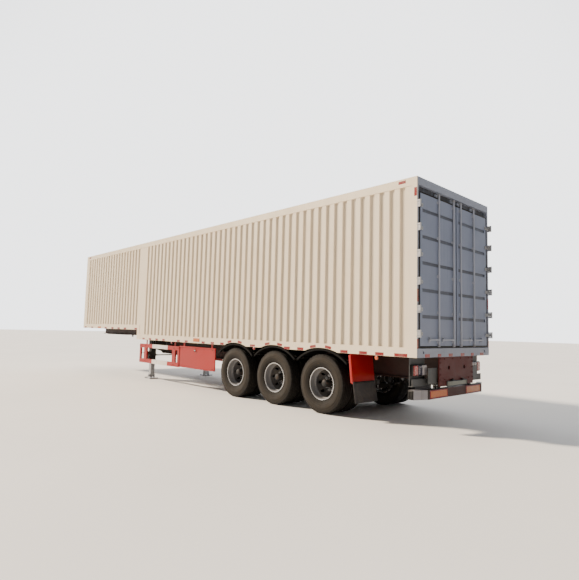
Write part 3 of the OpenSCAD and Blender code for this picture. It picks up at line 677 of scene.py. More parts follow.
def around(place):
    """Which of the tread's steps a place belongs to."""
    return round(math.atan2(place.z, place.x) / math.tau * TREAD_STEPS + 0.25)


def tyre():
    """A ribbed tyre with zigzag grooves and notched shoulders, about its own axle."""
    half = tyre_section()
    piece = turned(half + [(radius, -across) for radius, across in reversed(half)], TREAD_STEPS, 1)
    in_groove = lambda place: (math.hypot(place.x, place.z) > SHOULDER_RADIUS and abs(place.y) < 80 * MM
                               and around(place) % 2 == 0)
    with editing(piece, in_groove, "VERT"):
        bpy.ops.transform.translate(value=(0, 5 * MM, 0))
    shoulder = lambda centre, normal: (abs(centre.y) > 118 * MM and around(centre) % 3 == 0
                                       and SHOULDER_RADIUS < math.hypot(centre.x, centre.z))
    with editing(piece, shoulder):
        bpy.ops.mesh.inset(thickness=2 * MM, depth=-7 * MM, use_individual=True)
    return painted(piece, TYRE_RUBBER)


def circle(radius, along, count):
    """Places at an even spacing round the Y axis, in millimetres from it and along it."""
    angles = [math.tau * place / count for place in range(count)]
    return [mm(math.cos(angle) * radius, along, math.sin(angle) * radius) for angle in angles]


def rim():
    """The outboard rim: a deep dish with hand holes, its flange edge in bright steel as a painted highlight."""
    section = [(298, 57), (297, 65), (288, 70), (286, 100), (262, 115), (262, 160), (286, 190), (286, 268),
               (291, 272), (298, 276), (298, 283), (296, 285), (287, 284), (280, 280), (277, 268), (277, 190),
               (272, 178), (256, 164), (254, 140), (246, 122), (204, 44), (192, 28), (172, 14), (88, 14),
               (88, 0), (178, 0), (212, 22), (252, 111), (278, 97), (278, 57)]
    piece = turned(section, 96)
    holes = joined(rod(centre + LEFT * -40 * MM, centre + LEFT * 160 * MM, 29 * MM, 24)
                   for centre in circle(220, 0, 8))
    applied(piece, "BOOLEAN", object=holes, operation="DIFFERENCE", solver="EXACT")
    bpy.data.objects.remove(holes)
    painted(piece, RIM_SILVER)
    on_disc = lambda centre, normal: centre.y < 150 * MM and math.hypot(centre.x, centre.z) < 262 * MM
    painted(piece, DISC_GREY, on_disc)
    # The flange's outer edge gets the bright steel: a painted highlight.
    on_edge = lambda centre, normal: centre.y > 274 * MM and math.hypot(centre.x, centre.z) > 290 * MM
    return painted(piece, FLANGE_HIGHLIGHT_STEEL, on_edge)


def hub():
    """The hub with its brake drum, cap, wheel nuts and cap bolts."""
    section = [(0, 225), (24, 224), (48, 219), (62, 210), (70, 196), (72, 180), (72, 74), (80, 70), (88, 66),
               (88, -14), (200, -14), (215, -24), (215, -60), (219, -64), (219, -76), (215, -80), (215, -252),
               (203, -252), (203, -32), (88, -32), (88, -140), (52, -140), (52, 195), (0, 205)]
    body = painted(turned(section, 64), HUB_IRON)
    stud_circle, studs_in_all, stud_length = 136, 10, 36 * MM
    nuts = bolts(circle(stud_circle, 14, studs_in_all), LEFT, 34)
    studs = joined(rod(foot, foot + LEFT * stud_length, 10 * MM, 12, 1.5 * MM)
                   for foot in circle(stud_circle, 16, studs_in_all))
    cap_bolts = bolts(circle(80, 68, 8), LEFT, 12)
    return joined([body, *(painted(piece, ZINC) for piece in (nuts, studs, cap_bolts))])


def remember_place(piece):
    """Keeps each corner's place about its own axle, which the rubber's pattern follows."""
    kept = piece.data.attributes.new(TYRE_PLACE, "FLOAT_VECTOR", "POINT")
    for vertex, value in zip(piece.data.vertices, kept.data):
        value.vector = vertex.co
    return piece


def wheel_pieces():
    twins = at_points(remember_place(tyre()), [LEFT * TWIN_OFFSET, -LEFT * TWIN_OFFSET])
    metal = joined([both_sides(rim()), hub()])
    for model, part, slot in ((twins, "tyres", "tyre"), (metal, "wheels", "wheel_paint")):
        for body, centre in WHEELS.items():
            turn = Matrix.Rotation(0 if centre.y > 0 else math.pi, 4, "Z")
            copy = own_copy(model, Matrix.Translation(centre) @ turn)
            node = body.replace("wheel", part)
            finished(copy, node + "_detail", body, [node])
        bpy.data.objects.remove(model)


# ---- rear doors ----

ROD_Y = (130 * MM, 625 * MM)
ROD_STAND = 22
ROD_X = REAR - ROD_STAND * MM
ROD_RADIUS = 15
ROD_FOOT, ROD_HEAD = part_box("left_lock_rods")[0].z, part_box("left_lock_rods")[1].z
HANDLE_Z = 1.41
HANDLE_REACH = (400, 330)
GUIDE_Z = (LEAF_LOW.z + 60 * MM, HANDLE_Z + 440 * MM, 2.45, 3.08, LEAF_HIGH.z - 60 * MM)


def door_seals():
    """Extruded rubber round each leaf, with a raised lip on the side that looks back."""
    near, far = REAR + 4 * MM, REAR + 44 * MM
    top, foot = LEAF_HIGH.z + 28 * MM, LEAF_LOW.z - 32 * MM
    strips = (
        ((near, LEAF_HIGH.y, foot), (far, LEAF_HIGH.y + 42 * MM, top)),
        ((near, LEAF_LOW.y - 8 * MM, foot), (REAR + 22 * MM, LEAF_LOW.y, top)),
        ((near, LEAF_LOW.y, foot), (far, LEAF_HIGH.y, LEAF_LOW.z)),
        ((near, LEAF_LOW.y, LEAF_HIGH.z), (far, LEAF_HIGH.y, top)),
    )
    piece = joined(bevelled(stepped(slab(low, high), BACK, 3, 2), 1 * MM) for low, high in strips)
    on_both_doors(painted(piece, SEAL_RUBBER), "door_seals")


def rod_guide():
    """A pressed saddle over a lock rod, with its two feet bolted down, about the rod's own axis."""
    half, outer = 22, ROD_RADIUS + 3
    saddle = standing(sleeve(ROD_RADIUS + 0.2, outer, -half, half, 24), ORIGIN, UP)
    cheek = block((-2, ROD_RADIUS, -half), (ROD_STAND, outer, half), 1)
    foot = block((ROD_STAND - 4, ROD_RADIUS, -half), (ROD_STAND, ROD_RADIUS + 26, half), 1.5)
    fixing = bolts([mm(ROD_STAND - 4, ROD_RADIUS + 15, 0)], BACK, 11)
    return joined([saddle, both_sides(joined([cheek, foot, fixing]))])


def rod_cam():
    """The forged cam at a rod's end, which hooks behind its keeper."""
    collar = standing(turned([(ROD_RADIUS, 0), (18, 2), (18, 36), (ROD_RADIUS, 38)], 24), ORIGIN, UP)
    nose = tapered(block((2, -17, 4), (ROD_STAND + 8, 17, 34), 3), FORWARD, (1, 0.6, 0.7))
    horn = block((4, -22, 12), (ROD_STAND - 4, 22, 26), 3)
    return joined([collar, nose, horn])


def rod_handle(reach):
    """A flat bar from a pinned collar on the rod, waisted and swept to a rounded grip."""
    thick, depth = 10, 28
    bar = block((-thick / 2, 0, -depth / 2), (thick / 2, reach * 0.3, depth / 2))
    for share, narrowing in ((0.25, 0.75), (0.25, 1.25), (0.2, 0.8)):
        with editing(bar, facing(LEFT)):
            bpy.ops.mesh.extrude_region_move(TRANSFORM_OT_translate={"value": mm(0, reach * share, 0)})
            bpy.ops.transform.resize(value=(1, 1, narrowing))
    bevelled(bar, 3.5 * MM, 3)
    collar = turned([(ROD_RADIUS, -18), (18, -16), (18, 16), (ROD_RADIUS, 18)], 24)
    return joined([bar, standing(collar, mm(9, 0, 0), UP), stud((-8, 34, 0), (8, 34, 0), 5, 12, 1)])


def handle_catch():
    """The catch that holds a handle: a bolted plate, a hooked keeper and a swinging tongue."""
    plate = block((-4, -26, -45), (0, 26, 45), 1.5)
    hook = block((-24, -14, -27), (-4, 14, -17), 2)
    with editing(hook, facing(BACK)):
        bpy.ops.mesh.extrude_region_move(TRANSFORM_OT_translate={"value": mm(-5, 0, 0)})
        bpy.ops.transform.translate(value=mm(0, 0, 6))
    tongue = block((-33, -9, -14), (-28, 9, 32), 2)
    pivot = stud((-34, 0, 24), (-2, 0, 24), 6, 12, 1)
    fixings = bolts([mm(-4, y, z) for y in (-18, 18) for z in (-36, 36)], BACK, 9)
    return joined([plate, hook, tongue, pivot, fixings])


def lock_gear():
    parts = []
    for y, reach in zip(ROD_Y, HANDLE_REACH):
        bar = rod((ROD_X, y, ROD_FOOT + 4 * MM), (ROD_X, y, ROD_HEAD - 4 * MM), ROD_RADIUS * MM, 24, 2 * MM)
        guides = at_points(rod_guide(), [(ROD_X, y, z) for z in GUIDE_Z])
        handle = moved(rod_handle(reach), (REAR - 31 * MM, y, HANDLE_Z))
        catch = moved(handle_catch(), (REAR, y + (reach - 45) * MM, HANDLE_Z))
        cams = [moved(rod_cam(), (ROD_X, y, z)) for z in (ROD_FOOT + 2 * MM, ROD_HEAD - 40 * MM)]
        parts += [painted(piece, ROD_GREY) for piece in (bar, guides, handle, catch)]
        parts += [painted(cam, FORGED) for cam in cams]
    on_both_doors(joined(parts), "lock_gear", "lock_rods")


def door_linings():
    """The inner face of each door: a folded frame, ribs behind the pressed bands, and the guides' nuts."""
    face, edge, rib_end, half_rib = LEAF_HIGH.x, 14 * MM, 110 * MM, 34 * MM
    lining = slab((face, LEAF_LOW.y + edge, LEAF_LOW.z + edge),
                  (face + 5 * MM, LEAF_HIGH.y - edge, LEAF_HIGH.z - edge))
    sheets = [pressed(lining, FORWARD, 70, 6, -4)]
    for z in levels("left_rear_door", 2)[1:-1]:
        rib = slab((face, LEAF_LOW.y + rib_end, z - half_rib),
                   (face + 1 * MM, LEAF_HIGH.y - rib_end, z + half_rib))
        sheets.append(pressed(rib, FORWARD, 3, 9, 4))
    parts = [painted(bevelled(sheet, 0.5 * MM), FRAME_ENAMEL_IN_PAINTED_SHADE) for sheet in sheets]
    nuts = [(face + 1 * MM, y + side * 30 * MM, z) for y in ROD_Y for z in GUIDE_Z[1:-1] for side in (-1, 1)]
    parts.append(painted(bolts(nuts, FORWARD, 11), ZINC))
    on_both_doors(joined(parts), "door_lining")


def hinge_fixings():
    """Two bolts through each hinge strap, and the pin's swaged head over each top lug."""
    strap_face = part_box("left_door_hinges")[0].y
    lug_top = 57 * MM
    heights = levels("left_door_hinges", 2)
    points = [(REAR - 12 * MM, strap_face + across * MM, z) for z in heights for across in (14, 40)]
    on_both_doors(painted(bolts(points, BACK, 13), ZINC), "hinge_bolts")
    head = standing(turned([(0, 6), (9, 5), (12, 0), (0, 0)], 20), ORIGIN, UP)
    caps = at_points(head, [(HINGE.x, HINGE.y, z + lug_top) for z in heights])
    finished(painted(both_sides(caps), ZINC), "hinge_pin_heads", CHASSIS)


def frame_buffers():
    """Rubber stops set in the sill for the doors and for the loading dock."""
    stop = turned([(0, 30), (12, 29), (18, 25), (21, 18), (21, 0), (0, 0)], 32)
    piece = both_sides(standing(stop, (REAR + 39 * MM, 1070 * MM, RAIL_FOOT + 80 * MM), BACK))
    finished(painted(piece, SEAL_RUBBER), "sill_buffers", CHASSIS)


# ---- tape and side lamps ----

TAPE_HEIGHT = 50
TAPE_THICK = 0.8
TAPE_RISE = 28 * MM
RAIL_HEIGHT = 150 * MM
FRONT_RAIL_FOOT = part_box("bottom_rails")[1].z - RAIL_HEIGHT
ROOF_TAPE_Z = 3.945
ARCH_HALF, ARCH_DEPTH = 0.41, 0.07
ARCH_RADIUS = (ARCH_HALF ** 2 + ARCH_DEPTH ** 2) / (2 * ARCH_DEPTH)


def tape(centre, length, tilt=0.0, height=TAPE_HEIGHT):
    """A strip of tape with bevelled borders on the left side's rails, its height in millimetres."""
    half_length, half_height = length / 2 / MM, height / 2
    strip = block((-half_length, 0, -half_height), (half_length, TAPE_THICK, half_height))
    with editing(strip, facing(LEFT)):
        bpy.ops.mesh.inset(thickness=1.5 * MM)
        bpy.ops.transform.translate(value=mm(0, 0.2, 0))
    return placed(strip, Matrix.Translation(centre) @ Matrix.Rotation(tilt, 4, "Y"))


def tape_run(distances, z, length):
    return [tape((ahead(distance), SIDE, z), length) for distance in distances]


def rail_tape():
    low = RAIL_FOOT + TAPE_RISE
    strips = tape_run([0.29], low, 0.24)
    strips += tape_run([0.70, 1.035, 1.455, 2.545, 2.92, 4.0], low, 0.17)
    strips += tape_run([5.12 + 0.39 * n for n in (0, 1, 2, 4, 5, 7, 8, 9, 10)], low, 0.14)
    from_top = 0.19
    lean = math.asin(from_top / ARCH_RADIUS)
    arch_z = RAIL_FOOT + 100 * MM - ARCH_RADIUS * (1 - math.cos(lean))
    strips += [tape((axle_x + side * from_top, SIDE, arch_z), 0.15, side * lean)
               for axle_x, _ in AXLES for side in (-1, 1)]
    strips += tape_run([9.56, 10.30, 10.76, 11.23, 11.77, 12.93, 13.54], FRONT_RAIL_FOOT + TAPE_RISE, 0.17)
    strips += tape_run([0.28], ROOF_TAPE_Z, 0.14) + tape_run([13.48], ROOF_TAPE_Z, 0.16)
    strips.append(tape((ahead(0.03), SIDE, 3.75), 0.14, math.radians(90)))
    finished(painted(both_sides(joined(strips)), RED_SHEET), "side_reflective_tape", CHASSIS)


def rear_tape():
    """Tape across the sill and up the posts, each strip by its place and its length."""
    sill_z, post_y = RAIL_FOOT + TAPE_RISE, SIDE - 20 * MM
    on_sill = ((0.955, 0.15), (0.58, 0.11), (0.21, 0.14))
    on_post = ((2.10, 0.2), (1.345, 0.15))
    strips = [(y, sill_z, length, 0.0, TAPE_HEIGHT) for y, length in on_sill]
    strips += [(post_y, z, length, math.radians(90), 34) for z, length in on_post]
    quarter = Matrix.Rotation(math.radians(90), 4, "Z")
    pieces = [placed(tape((0, 0, 0), length, tilt, height), Matrix.Translation((REAR, y, z)) @ quarter)
              for y, z, length, tilt, height in strips]
    finished(painted(both_sides(joined(pieces)), RED_SHEET), "rear_reflective_tape", CHASSIS)


def round_lamp(lens):
    """A round marker lamp with a moulded base, a lens dome and its bracket, about its own centre."""
    base = painted(turned([(0, 0), (43, 0), (43, 8), (38, 12), (0, 12)], 32), BLACK_ABS)
    dome = painted(turned([(0, 22), (12, 21.5), (24, 19), (32, 15), (36, 11), (0, 11)], 32), lens)
    return joined([base, dome, painted(block((-22, -4, -30), (22, 0, 52), 1), CHASSIS_BLACK)])


def side_lamps():
    seat = SIDE - 11 * MM
    lamps = ((0.755, 40, AMBER_LENS), (3.946, 22, RED_LENS), (7.41, 26, RED_LENS))
    parts = [moved(round_lamp(lens), (ahead(distance), seat, RAIL_FOOT - drop * MM))
             for distance, drop, lens in lamps]
    reflectors = ((6.21, RAIL_FOOT + 78 * MM, 140, 45), (12.3, FRONT_RAIL_FOOT + 40 * MM, 130, 30))
    for distance, z, half_length, half_height in reflectors:
        plate = block((-half_length, 0, -half_height), (half_length, 5, half_height), 2)
        painted(stepped(plate, LEFT, 6, 2), ORANGE_SHEET)
        parts.append(moved(plate, (ahead(distance), SIDE, z)))
    finished(both_sides(joined(parts)), "side_marker_lamps", CHASSIS)


# ---- rear lamps, plates and bar ----


def tail_lamps():
    """The left cluster, and its twin: a moulded housing with three framed lens chambers."""
    low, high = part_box("tail_lamps")
    inner = 760 * MM
    chamber = (high.y - inner) / 3
    parts = [painted(slab((low.x + 12 * MM, inner, low.z), high, 6 * MM), BLACK_ABS)]
    for index, lens in enumerate((CLEAR_LENS, SMOKE_LENS, RED_LENS)):
        start = inner + index * chamber
        face = slab((low.x + 4 * MM, start + 6 * MM, low.z + 10 * MM),
                    (low.x + 20 * MM, start + chamber - 6 * MM, high.z - 10 * MM), 3 * MM)
        with editing(face, facing(BACK)):
            bpy.ops.mesh.inset(thickness=9 * MM)
            bpy.ops.mesh.extrude_region_move(TRANSFORM_OT_translate={"value": mm(-4, 0, 0)})
            bpy.ops.mesh.inset(thickness=5 * MM)
        parts.append(painted(face, lens))
    parts.append(rivets((low.x + 12 * MM, inner + n * chamber, z) for n in (1, 2)
                        for z in (low.z + 5 * MM, high.z - 5 * MM)))
    finished(both_sides(joined(parts)), "tail_lamp_clusters", CHASSIS, ["tail_lamps"])


def back_field(centre, across, upward):
    """Picks the face that looks back from the middle of a plate, within millimetres of it."""
    return lambda place, normal: (normal.x < -0.9 and abs(place.z - centre.z) < upward * MM
                                  and abs(place.y - centre.y) < across * MM)


def marker_boards():
    """Red boards with an orange field, one on each side."""
    low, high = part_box("marker_plates")
    low.y = 320 * MM
    board = painted(slab(low, high, 1 * MM), RED_SHEET)
    with editing(board, facing(BACK)):
        bpy.ops.mesh.inset(thickness=16 * MM)
        bpy.ops.transform.translate(value=mm(0.6, 0, 0))
    painted(board, ORANGE_SHEET, back_field((low + high) / 2, 2, 2))
    corners = rivets((low.x, y, z) for y in (low.y + 8 * MM, high.y - 8 * MM)
                     for z in (low.z + 8 * MM, high.z - 8 * MM))
    finished(both_sides(joined([board, corners])), "rear_marker_boards", CHASSIS,
             ["marker_plates"])


def number_plate():
    """A blank plate in a pressed carrier across the foot of the rear plate, with its two lamps."""
    low, high = Vector((REAR - 22 * MM, -0.34, 0.642)), Vector((REAR - 2 * MM, 0.36, 0.73))
    centre = (low + high) / 2
    carrier = painted(stepped(slab(low, high, 3 * MM), BACK, 9, -5), CARRIER_GREY)
    parts = [painted(carrier, PLATE_FILM, back_field(centre, 5, 3))]
    for y in (centre.y - 0.18, centre.y + 0.18):
        hood = moved(block((-40, -35, 4), (0, 35, 26), 3), (REAR, y, high.z))
        parts.append(painted(tapered(hood, BACK, (1, 0.85, 0.6)), BLACK_ABS))
    parts.append(rivets((low.x, y, centre.z) for y in (low.y + 5 * MM, high.y - 5 * MM)))
    finished(joined(parts), "number_plate_and_lamps", CHASSIS)


def rear_plate_fixings():
    low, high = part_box("rear_plate")
    edge = 0.56
    points = [(low.x, y, z) for y in (edge, 0.42, 0.14) for z in (low.z + 110 * MM, high.z - 30 * MM)]
    points += [(low.x, edge, low.z + share * (high.z - low.z)) for share in (0.4, 0.6, 0.8)]
    piece = painted(both_sides(bolts(points, BACK, 17)), DEEP_RED)
    finished(piece, "rear_plate_bolts", CHASSIS)


def bar_fixings():
    """Gusset plates and bolts where the underrun bar hangs from the chassis beams, and the bar's end caps."""
    low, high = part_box("underrun_guard")
    inner, outer = 563 * MM, 571 * MM
    gusset = slab((ahead(0.03), inner, high.z - 260 * MM), (ahead(0.13), outer, high.z - 30 * MM), 2 * MM)
    points = [(ahead(d), outer, high.z - drop) for d in (0.055, 0.105) for drop in (0.06, 0.11, 0.21)]
    cap = moved(block((112, 0, 6), (208, 3, 144), 1), (REAR, high.y, low.z))
    parts = [painted(gusset, CHASSIS_BLACK), painted(bolts(points, LEFT, 18), ZINC),
             painted(stepped(cap, LEFT, 20, -1.5), BLACK_ABS)]
    finished(both_sides(joined(parts)), "underrun_brackets", CHASSIS)


# ---- flaps, guards and mudguards ----

GUARD_INNER = 630 * MM


def leaning(piece, centre, lean):
    """Sets down an upright sheet that leans about the Y axis."""
    return placed(piece, Matrix.Translation(centre) @ Matrix.Rotation(lean, 4, "Y"))


def mud_flaps():
    """Moulded flaps with a raised border and ribs, each under a bolted steel strip."""
    low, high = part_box("mud_flaps")
    low.y = GUARD_INNER
    face = -5
    half_width, half_height = (high.y - low.y) / 2 / MM, (high.z - low.z) / 2 / MM
    lean = math.atan2(high.x - low.x + 2 * face * MM, high.z - low.z)
    flap = block((face, -half_width, -half_height + 2), (-face, half_width, half_height - 2))
    painted(bevelled(pressed(flap, BACK, 16, 4, -4), 1.5 * MM), FLAP_RUBBER)
    ribs = joined(block((face, y - 4, -half_height + 30), (-1, y + 4, -half_height + 120), 1)
                  for y in range(-225, 226, 75))
    strip = block((face - 4, -half_width + 10, half_height - 36), (face, half_width - 10, half_height - 6), 1)
    fixings = bolts([mm(face - 4, y, half_height - 21) for y in range(-250, 251, 125)], BACK, 13)
    parts = [flap, painted(ribs, FLAP_RUBBER), painted(joined([strip, fixings]), CHASSIS_BLACK)]
    piece = leaning(joined(parts), (low + high) / 2, lean)
    finished(both_sides(piece), "mud_flaps_detail", CHASSIS, ["mud_flaps"])


def splash_flanges():
    """Folded flanges that stiffen both edges of each splash plate."""
    low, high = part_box("splash_plates")
    height, sheet = high.z - low.z, 5 * MM
    lean = math.atan2(high.x - low.x - 8 * MM, height)
    foot, head = -height / 2 + 4 * MM, height / 2 - 12 * MM
    folds = []
    for edge, reach in ((-sheet, 42 * MM), (GUARD_INNER - high.y, 30 * MM)):
        fold = tapered(slab((0, edge, foot), (reach, edge + sheet, head)), FORWARD, (1, 1, 0.94))
        folds.append(bevelled(fold, 1 * MM))
    centre = ((low.x + high.x) / 2 + 2 * MM, high.y, (low.z + high.z) / 2)
    piece = both_sides(painted(leaning(joined(folds), centre, lean), GUARD_RED))
    finished(piece, "splash_plate_flanges", CHASSIS)


def guard_fittings():
    """Bolts, hinge pins, a latch and hems on the left side's guards; the right has the same."""
    low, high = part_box("side_guard_panels")
    guard_low, guard_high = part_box("side_guards")
    face, top = high.y, low.z + 540 * MM
    pins = [(ahead(d), face, z) for d in (5.50, 6.97) for z in (low.z + 45 * MM, top - 50 * MM)]
    rails = [(ahead(d), guard_high.y, guard_low.z + rise) for d in (7.10, 7.336, 8.93, 9.24)
             for rise in (57 * MM, 484 * MM)]
    latch = Vector((ahead(6.28), face, top - 90 * MM))
    escutcheon = turned([(0, 0), (34, 0), (34, 3), (28, 6), (16, 6), (14, 3), (0, 3)], 32)
    grip = moved(stud((-30, 8, 0), (30, 8, 0), 5, 12, 1.5), latch)
    parts = [painted(bolts(pins, LEFT, 16), CHASSIS_BLACK), painted(bolts(rails, LEFT, 16), GUARD_RED),
             painted(standing(escutcheon, latch, LEFT), CHASSIS_BLACK), painted(grip, ZINC)]
    for z in (low.z, top - 12 * MM):
        hem = slab((low.x + 4 * MM, face, z + 2 * MM), (high.x - 4 * MM, face + 5 * MM, z + 10 * MM), 2 * MM)
        parts.append(painted(hem, GUARD_RED))
    finished(both_sides(joined(parts)), "side_guard_fittings", CHASSIS)


def mudguard_fixings():
    """Clamps that hold each mudguard on its round arms, and the arms' collars on the chassis."""
    arm_reach, arm_radius, guard_radius = 0.56, 15, 985 * MM
    arch_rise = math.sqrt((guard_radius - 5 * MM) ** 2 - arm_reach ** 2)
    arm_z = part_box("mudguards")[1].z - guard_radius + arch_rise - 12 * MM
    arm_x = [axle_x + side * arm_reach for axle_x, _ in AXLES for side in (-1, 1)]
    clamps = at_points(sleeve(arm_radius, arm_radius + 6, -20, 20, 20),
                       [(x, y, arm_z) for x in arm_x for y in (0.68, 1.16)])
    collars = at_points(sleeve(arm_radius, 48, 0, 8, 24), [(x, 505 * MM, arm_z) for x in arm_x])
    piece = painted(both_sides(joined([clamps, collars])), CHASSIS_BLACK)
    finished(piece, "mudguard_clamps", CHASSIS)


# ---- suspension ----

SPRING_Y = 500 * MM
SPRING_FOOT = 372 * MM
SADDLE_TOP = 625 * MM


def u_bolts():
    """Four U-bolt legs round each spring and axle, with their plates and nuts."""
    legs, plates = [], []
    corners = [(axle_x + along * MM, SPRING_Y + across * MM)
               for axle_x, _ in AXLES for along in (-62, 62) for across in (-57, 57)]
    for x, y in corners:
        legs.append(rod((x, y, SPRING_FOOT - 48 * MM), (x, y, SADDLE_TOP + 34 * MM), 10 * MM, 14, 1.5 * MM))
    for axle_x, _ in AXLES:
        plates += [moved(block((-82, -70, 0), (82, 70, 14), 3), (axle_x, SPRING_Y, z))
                   for z in (SPRING_FOOT - 18 * MM, SADDLE_TOP)]
    top_nuts = bolts([(x, y, SADDLE_TOP + 14 * MM) for x, y in corners], UP, 24)
    foot_nuts = bolts([(x, y, SPRING_FOOT - 18 * MM) for x, y in corners], -UP, 24)
    steel, iron = painted(joined(legs), ZINC), painted(joined(plates), CHASSIS_BLACK)
    piece = joined([steel, iron, painted(joined([top_nuts, foot_nuts]), ZINC)])
    finished(both_sides(piece), "spring_u_bolts", CHASSIS)


def spring_clips():
    """Strap clips round the spring leaves, and centre pins on the equaliser hangers."""
    clips = []
    for x in [axle_x + along for axle_x, _ in AXLES for along in (-0.33, 0.33)]:
        clip = moved(block((-20, -50, 13), (20, 50, 123), 2), (x, SPRING_Y, SPRING_FOOT))
        with editing(clip, lambda centre, normal: abs(normal.y) > 0.9):
            bpy.ops.mesh.inset(thickness=6 * MM, depth=2 * MM)
        clips.append(clip)
    hanger_x = [AXLES[0][0] + (n - 0.5) * (AXLES[1][0] - AXLES[0][0]) for n in range(4)]
    hanger_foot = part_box("main_beams")[0].z - 14 * MM
    nuts = bolts([(x, SPRING_Y - 62 * MM, 606 * MM) for x in hanger_x], -LEFT, 40)
    feet = bolts([(x + along, SPRING_Y + across, hanger_foot) for x in hanger_x
                  for along in (-0.115, 0.115) for across in (-0.045, 0.045)], -UP, 18)
    piece = joined([painted(joined(clips), CHASSIS_BLACK), painted(joined([nuts, feet]), ZINC)])
    finished(both_sides(piece), "spring_clips_and_pins", CHASSIS)


def brake_gear():
    """Clamp bands and ports on each brake chamber, with its clevis and slack adjuster."""
    band = standing(turned([(79, -9), (87, -9), (89, 0), (87, 9), (79, 9)], 40), ORIGIN, FORWARD)
    port, lug = stud((0, 0, 78), (0, 0, 98), 11, 6, 1), block((-9, -12, -104), (9, 12, -84), 2)
    dome = standing(turned([(0, 26), (30, 22), (58, 10), (70, 0), (0, 0)], 36), mm(-66, 0, 0), BACK)
    clevis = block((208, -16, -14), (242, 16, 14), 3)
    adjuster = block((236, -14, -64), (288, 14, 26), 6)
    model = joined([painted(joined([band, port, lug]), ZINC), painted(dome, CHASSIS_BLACK),
                    painted(clevis, ZINC), painted(adjuster, HUB_IRON)])
    piece = at_points(model, [(axle_x - 380 * MM, 300 * MM, axle_z + 60 * MM) for axle_x, axle_z in AXLES])
    finished(both_sides(piece), "brake_gear", CHASSIS)


def air_tanks():
    """Welded air tanks with dished ends, hung in steel straps, each with a drain and two ports."""
    low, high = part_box("air_tanks")
    reach, radius, beside = high.y / MM, 150, 156 * MM
    shell = [(0, reach), (60, reach - 4), (110, reach - 18), (138, reach - 40), (radius, reach - 70),
             (radius, reach - 90), (radius + 2, reach - 94), (radius, reach - 98)]
    tank = turned(shell + [(r, -y) for r, y in reversed(shell)], 64)
    straps = at_points(sleeve(radius, radius + 5, -18, 18, 64), [(0, -0.22, 0), (0, 0.22, 0)])
    centre_z = low.z + beside
    rail = (RAIL_FOOT - centre_z) / MM
    hangers = joined(block((-22, y - 18, radius - 6), (22, y + 18, rail), 3) for y in (-220, 220))
    drain = stud((0, 0, -radius - 5), (0, 0, -radius + 10), 9, 6, 1)
    ports = [stud((0, y, radius - 4), (0, y, radius + 12), 14, 6, 1) for y in (-80, 80)]
    model = joined([painted(tank, CHASSIS_BLACK), painted(straps, ZINC), painted(hangers, CHASSIS_BLACK),
                    painted(joined([drain, *ports]), ZINC)])
    places = [(low.x + beside, 0, centre_z), (high.x - beside, 0, centre_z)]
    finished(at_points(model, places), "air_tanks_detail", CHASSIS, ["air_tanks"])


# ---- landing gear and coupling ----


def landing_gear():
    """The crank gearbox, the cross shaft with its sleeves, and the bolts of both legs."""
    x, z = LEG.x, 680 * MM
    leg_y, half_tube = 950 * MM, 75 * MM
    inner = leg_y - half_tube
    shaft = rod((x, -inner, z), (x, inner, z), 17 * MM, 24, 2 * MM)
    sleeves = [rod((x, side * inner, z), (x, side * (inner - 90 * MM), z), 24 * MM, 24, 3 * MM)
               for side in (-1, 1)]
    gearbox = stepped(block((-70, 0, -110), (70, 44, 110), 8), LEFT, 14, 10)
    boss = stud((0, 50, 60), (0, 92, 60), 20, 24, 3)
    cover_bolts = bolts([mm(along, 44, rise) for along in (-58, 58) for rise in (-92, 0, 92)], LEFT, 13)
    crank = stud((0, 90, 60), (0, 110, 60), 16, 24, 3)
    arm = block((-12, 98, 48), (300, 110, 72), 4)
    grip = stud((288, 98, 60), (288, -95, 60), 10, 20, 2)
    cover = turned([(10, 0), (16, 3), (14, 30), (16, 60), (14, 88), (10, 92)], 20)
    on_face = Matrix.Translation((x, leg_y + half_tube, z))
    iron = placed(painted(joined([gearbox, boss]), CHASSIS_BLACK), on_face)
    steel = placed(joined([cover_bolts, crank, arm, grip]), on_face)
    bolt_y, bolt_z = (0.92, 0.98), (0.93, 1.0, 1.07)
    leg_bolts = [bolts([(x + end * half_tube, side * y, rise) for y in bolt_y for rise in bolt_z],
                       FORWARD * end, 20) for side in (-1, 1) for end in (-1, 1)]
    cover = placed(painted(standing(cover, mm(288, 84, 60), -LEFT), BLACK_ABS), on_face)
    piece = joined([painted(joined([shaft, *sleeves]), PIN_STEEL), iron,
                    painted(joined([steel, *leg_bolts]), ZINC), cover])
    finished(piece, "landing_gear_detail", CHASSIS, ["landing_gearbox"])


def foot_details():
    """Turned-up edges and pin heads on the landing feet."""
    parts = []
    for side in (-1, 1):
        lip = block((side * 152 - 8, -130, 8), (side * 152 + 8, 130, 34), 3)
        with editing(lip, facing(UP)):
            bpy.ops.transform.translate(value=mm(side * 10, 0, 0))
        parts += [lip, stud((0, side * 88, 96), (0, side * 104, 96), 24, 20, 3)]
    foot = moved(painted(joined(parts), ZINC), (LEG.x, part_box("landing_feet")[1].y - 130 * MM, 0))
    finished(both_sides(foot), "landing_foot_lips", CHASSIS)


